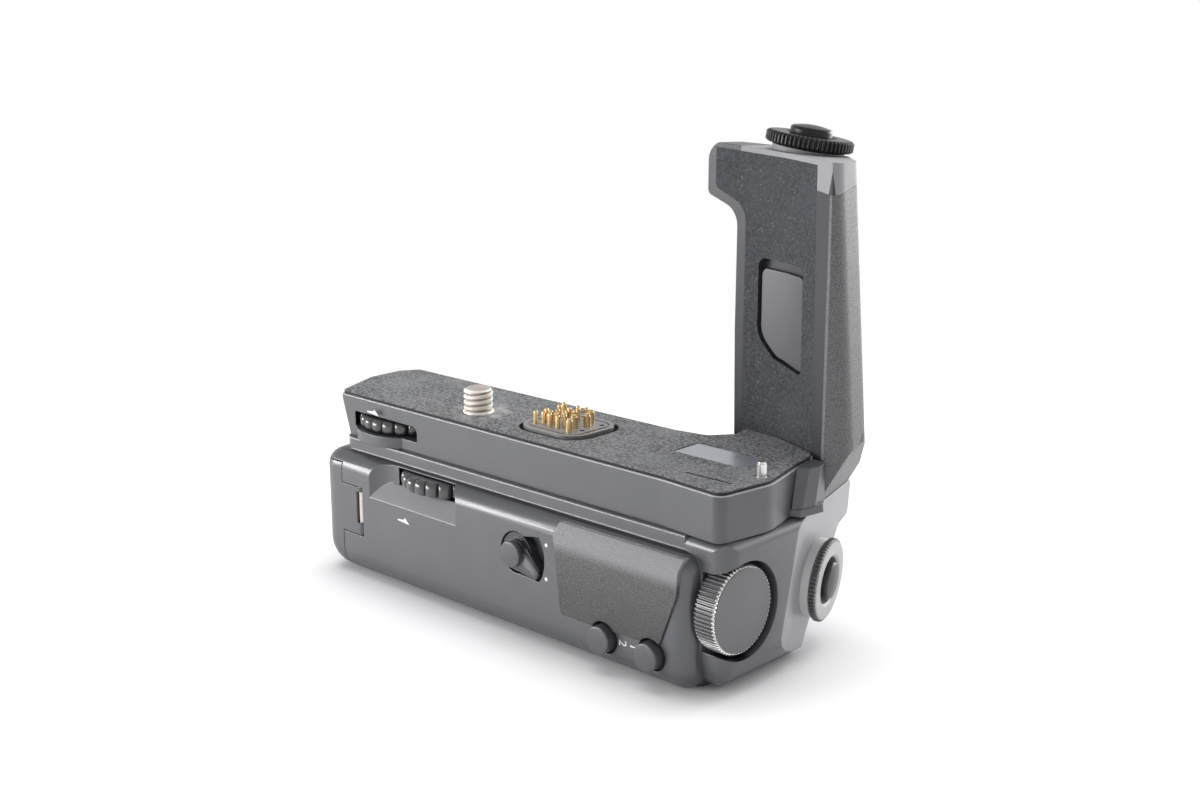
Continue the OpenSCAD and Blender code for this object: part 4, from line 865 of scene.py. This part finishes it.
# %% Digits beside the keys
def digit(text, x, z, size):
    """A plain figure turned a quarter, so that it reads down the wall."""
    curve = bpy.data.curves.new(f"digit_{text}", "FONT")
    curve.body, curve.size, curve.extrude = text, size * MM, INK / 2 * MM
    curve.align_x, curve.align_y = "CENTER", "CENTER"
    holder = bpy.data.objects.new(f"digit_{text}_curve", curve)
    bpy.context.scene.collection.objects.link(holder)
    mesh = bpy.data.meshes.new_from_object(holder.evaluated_get(bpy.context.evaluated_depsgraph_get()))
    bpy.data.objects.remove(holder)
    turn = Matrix(((0, 1, 0), (0, 0, -1), (-1, 0, 0))).to_4x4()
    mesh.transform(Matrix.Translation(Vector((x, wall_y - INK / 2, z)) * MM) @ turn)
    return settle(bpy.data.objects.new(f"digit_{text}", mesh), "holder", [], mark_white)

DIGIT_Z, DIGIT_SIZE = 6.9, 2.9
digit("2", 55.0, DIGIT_Z, DIGIT_SIZE)
digit("1", 57.9, DIGIT_Z, DIGIT_SIZE)
print("marks: 6")

# %% [markdown]
# ## The studio
# The grip stands on white paper that runs out of the picture. The paper keeps the
# soft shadow near the grip, and further out it turns to plain white, which the
# camera and glossy surfaces see as light of strength one. A lit sheet alone
# would fall off to grey at the edge of the picture.

# %% Paper
PAPER_REACH_M, DROP_M = 2.0, 0.0002
def paper_floor():
    """A round sheet of paper: rings of vertices whose radius grows as a square, just below zero."""
    rings, turns = 40, 64
    r = np.concatenate(([0.0], PAPER_REACH_M * (np.arange(1, rings + 1) / rings) ** 2))
    a = np.arange(turns) * 2 * np.pi / turns
    at = np.stack([np.outer(r, np.cos(a)), np.outer(r, np.sin(a)), np.zeros((rings + 1, turns))], -1)
    mesh = bpy.data.meshes.new("paper")
    mesh.from_pydata(at.reshape(-1, 3).tolist(), [], weave(rings + 1, turns)[:, ::-1].tolist())
    mesh.transform(Matrix.Translation((0.02, 0.01, -DROP_M)))
    return mesh

def paper_finish():
    """White paper that keeps shadows near the grip and fades to plain white further out."""
    p = Paint("paper_white")
    fade = p.away((20.0, 10.0, 0.0)).step(105.0, 210.0)
    seen = p.node("LightPath", out="Is Camera Ray")
    glossy = p.node("LightPath", out="Is Glossy Ray")
    white = p.node("Emission", {}, {"Color": (1.0, 1.0, 1.0, 1.0), "Strength": 1.0})
    sheet = p.node("BsdfDiffuse", {}, {"Color": (0.90, 0.90, 0.91, 1.0)})
    share = fade * seen.math("MAXIMUM", seen, glossy)
    mix = p.node("MixShader", {}, {0: share, 1: sheet, 2: white})
    last = p.tree.nodes.new("ShaderNodeOutputMaterial")
    p.tree.links.new(mix.socket, last.inputs[0])
    return p.material

paper = bpy.data.objects.new("paper", paper_floor())
bpy.context.scene.collection.objects.link(paper)
coat(paper, paper_finish())
print("corners of the paper:", len(paper.data.vertices))

# %% [markdown]
# ## Lamps and surroundings
# Three broad lamps give soft light: one above, one towards the rear wall and one
# behind, whose light slides along the handle. The one above isn't seen in
# glossy faces, because its reflection would wash out every edge that looks up.
# The surroundings are white to the camera. In glossy faces they are brightest at
# the horizon and dimmer overhead, which leaves the dark plastic dark on top.

# %% Lamps
def softbox(name, at_mm, look_mm, size_mm, watts):
    """A rectangular lamp at at_mm that faces look_mm."""
    lamp = bpy.data.lights.new(name, "AREA")
    lamp.shape, lamp.energy = "RECTANGLE", watts
    lamp.size, lamp.size_y = size_mm[0] * MM, size_mm[1] * MM
    holder = bpy.data.objects.new(name, lamp)
    holder.location = Vector(at_mm) * MM
    holder.rotation_mode = "QUATERNION"
    holder.rotation_quaternion = (Vector(look_mm) - Vector(at_mm)).to_track_quat("-Z", "Y")
    bpy.context.scene.collection.objects.link(holder)
    return holder

softbox("lamp_above", (-60, 140, 620), (20, 10, 30), (700, 500), 4.0).visible_glossy = False
softbox("lamp_rear", (-470, -520, 90), (10, 0, 30), (560, 240), 5.4)
softbox("lamp_behind", (150, 570, 160), (60, 20, 40), (520, 300), 2.5)

# %% Surroundings
HORIZON_GLOSS, ZENITH_GLOSS, ROOM_LIGHT = 1.0, 0.55, 0.52
world = bpy.data.worlds.new("studio_world")
bpy.context.scene.world = world
world.use_nodes = True
sky = world.node_tree
sky.nodes.clear()
path, place, split, height, level, seen, glow, last = (
    sky.nodes.new("ShaderNode" + kind) for kind in
    ("LightPath", "TexCoord", "SeparateXYZ", "MapRange", "Mix", "Mix", "Background", "OutputWorld"))
for source, socket, target, entry in (
        (place, "Generated", split, 0), (split, "Z", height, "Value"),
        (path, "Is Glossy Ray", level, "Factor"), (height, 0, level, "B"),
        (path, "Is Camera Ray", seen, "Factor"), (level, "Result", seen, "A"),
        (seen, "Result", glow, "Strength"), (glow, 0, last, 0)):
    sky.links.new(source.outputs[socket], target.inputs[entry])
height.inputs["From Min"].default_value, height.inputs["From Max"].default_value = 0.05, 0.65
height.inputs["To Min"].default_value = HORIZON_GLOSS
height.inputs["To Max"].default_value = ZENITH_GLOSS
level.inputs["A"].default_value = ROOM_LIGHT
seen.inputs["B"].default_value = 1.0
glow.inputs["Color"].default_value = (1.0, 1.0, 1.0, 1.0)
bpy.context.scene.view_settings.view_transform = "Standard"
print("gloss from horizon to zenith:", HORIZON_GLOSS, ZENITH_GLOSS)
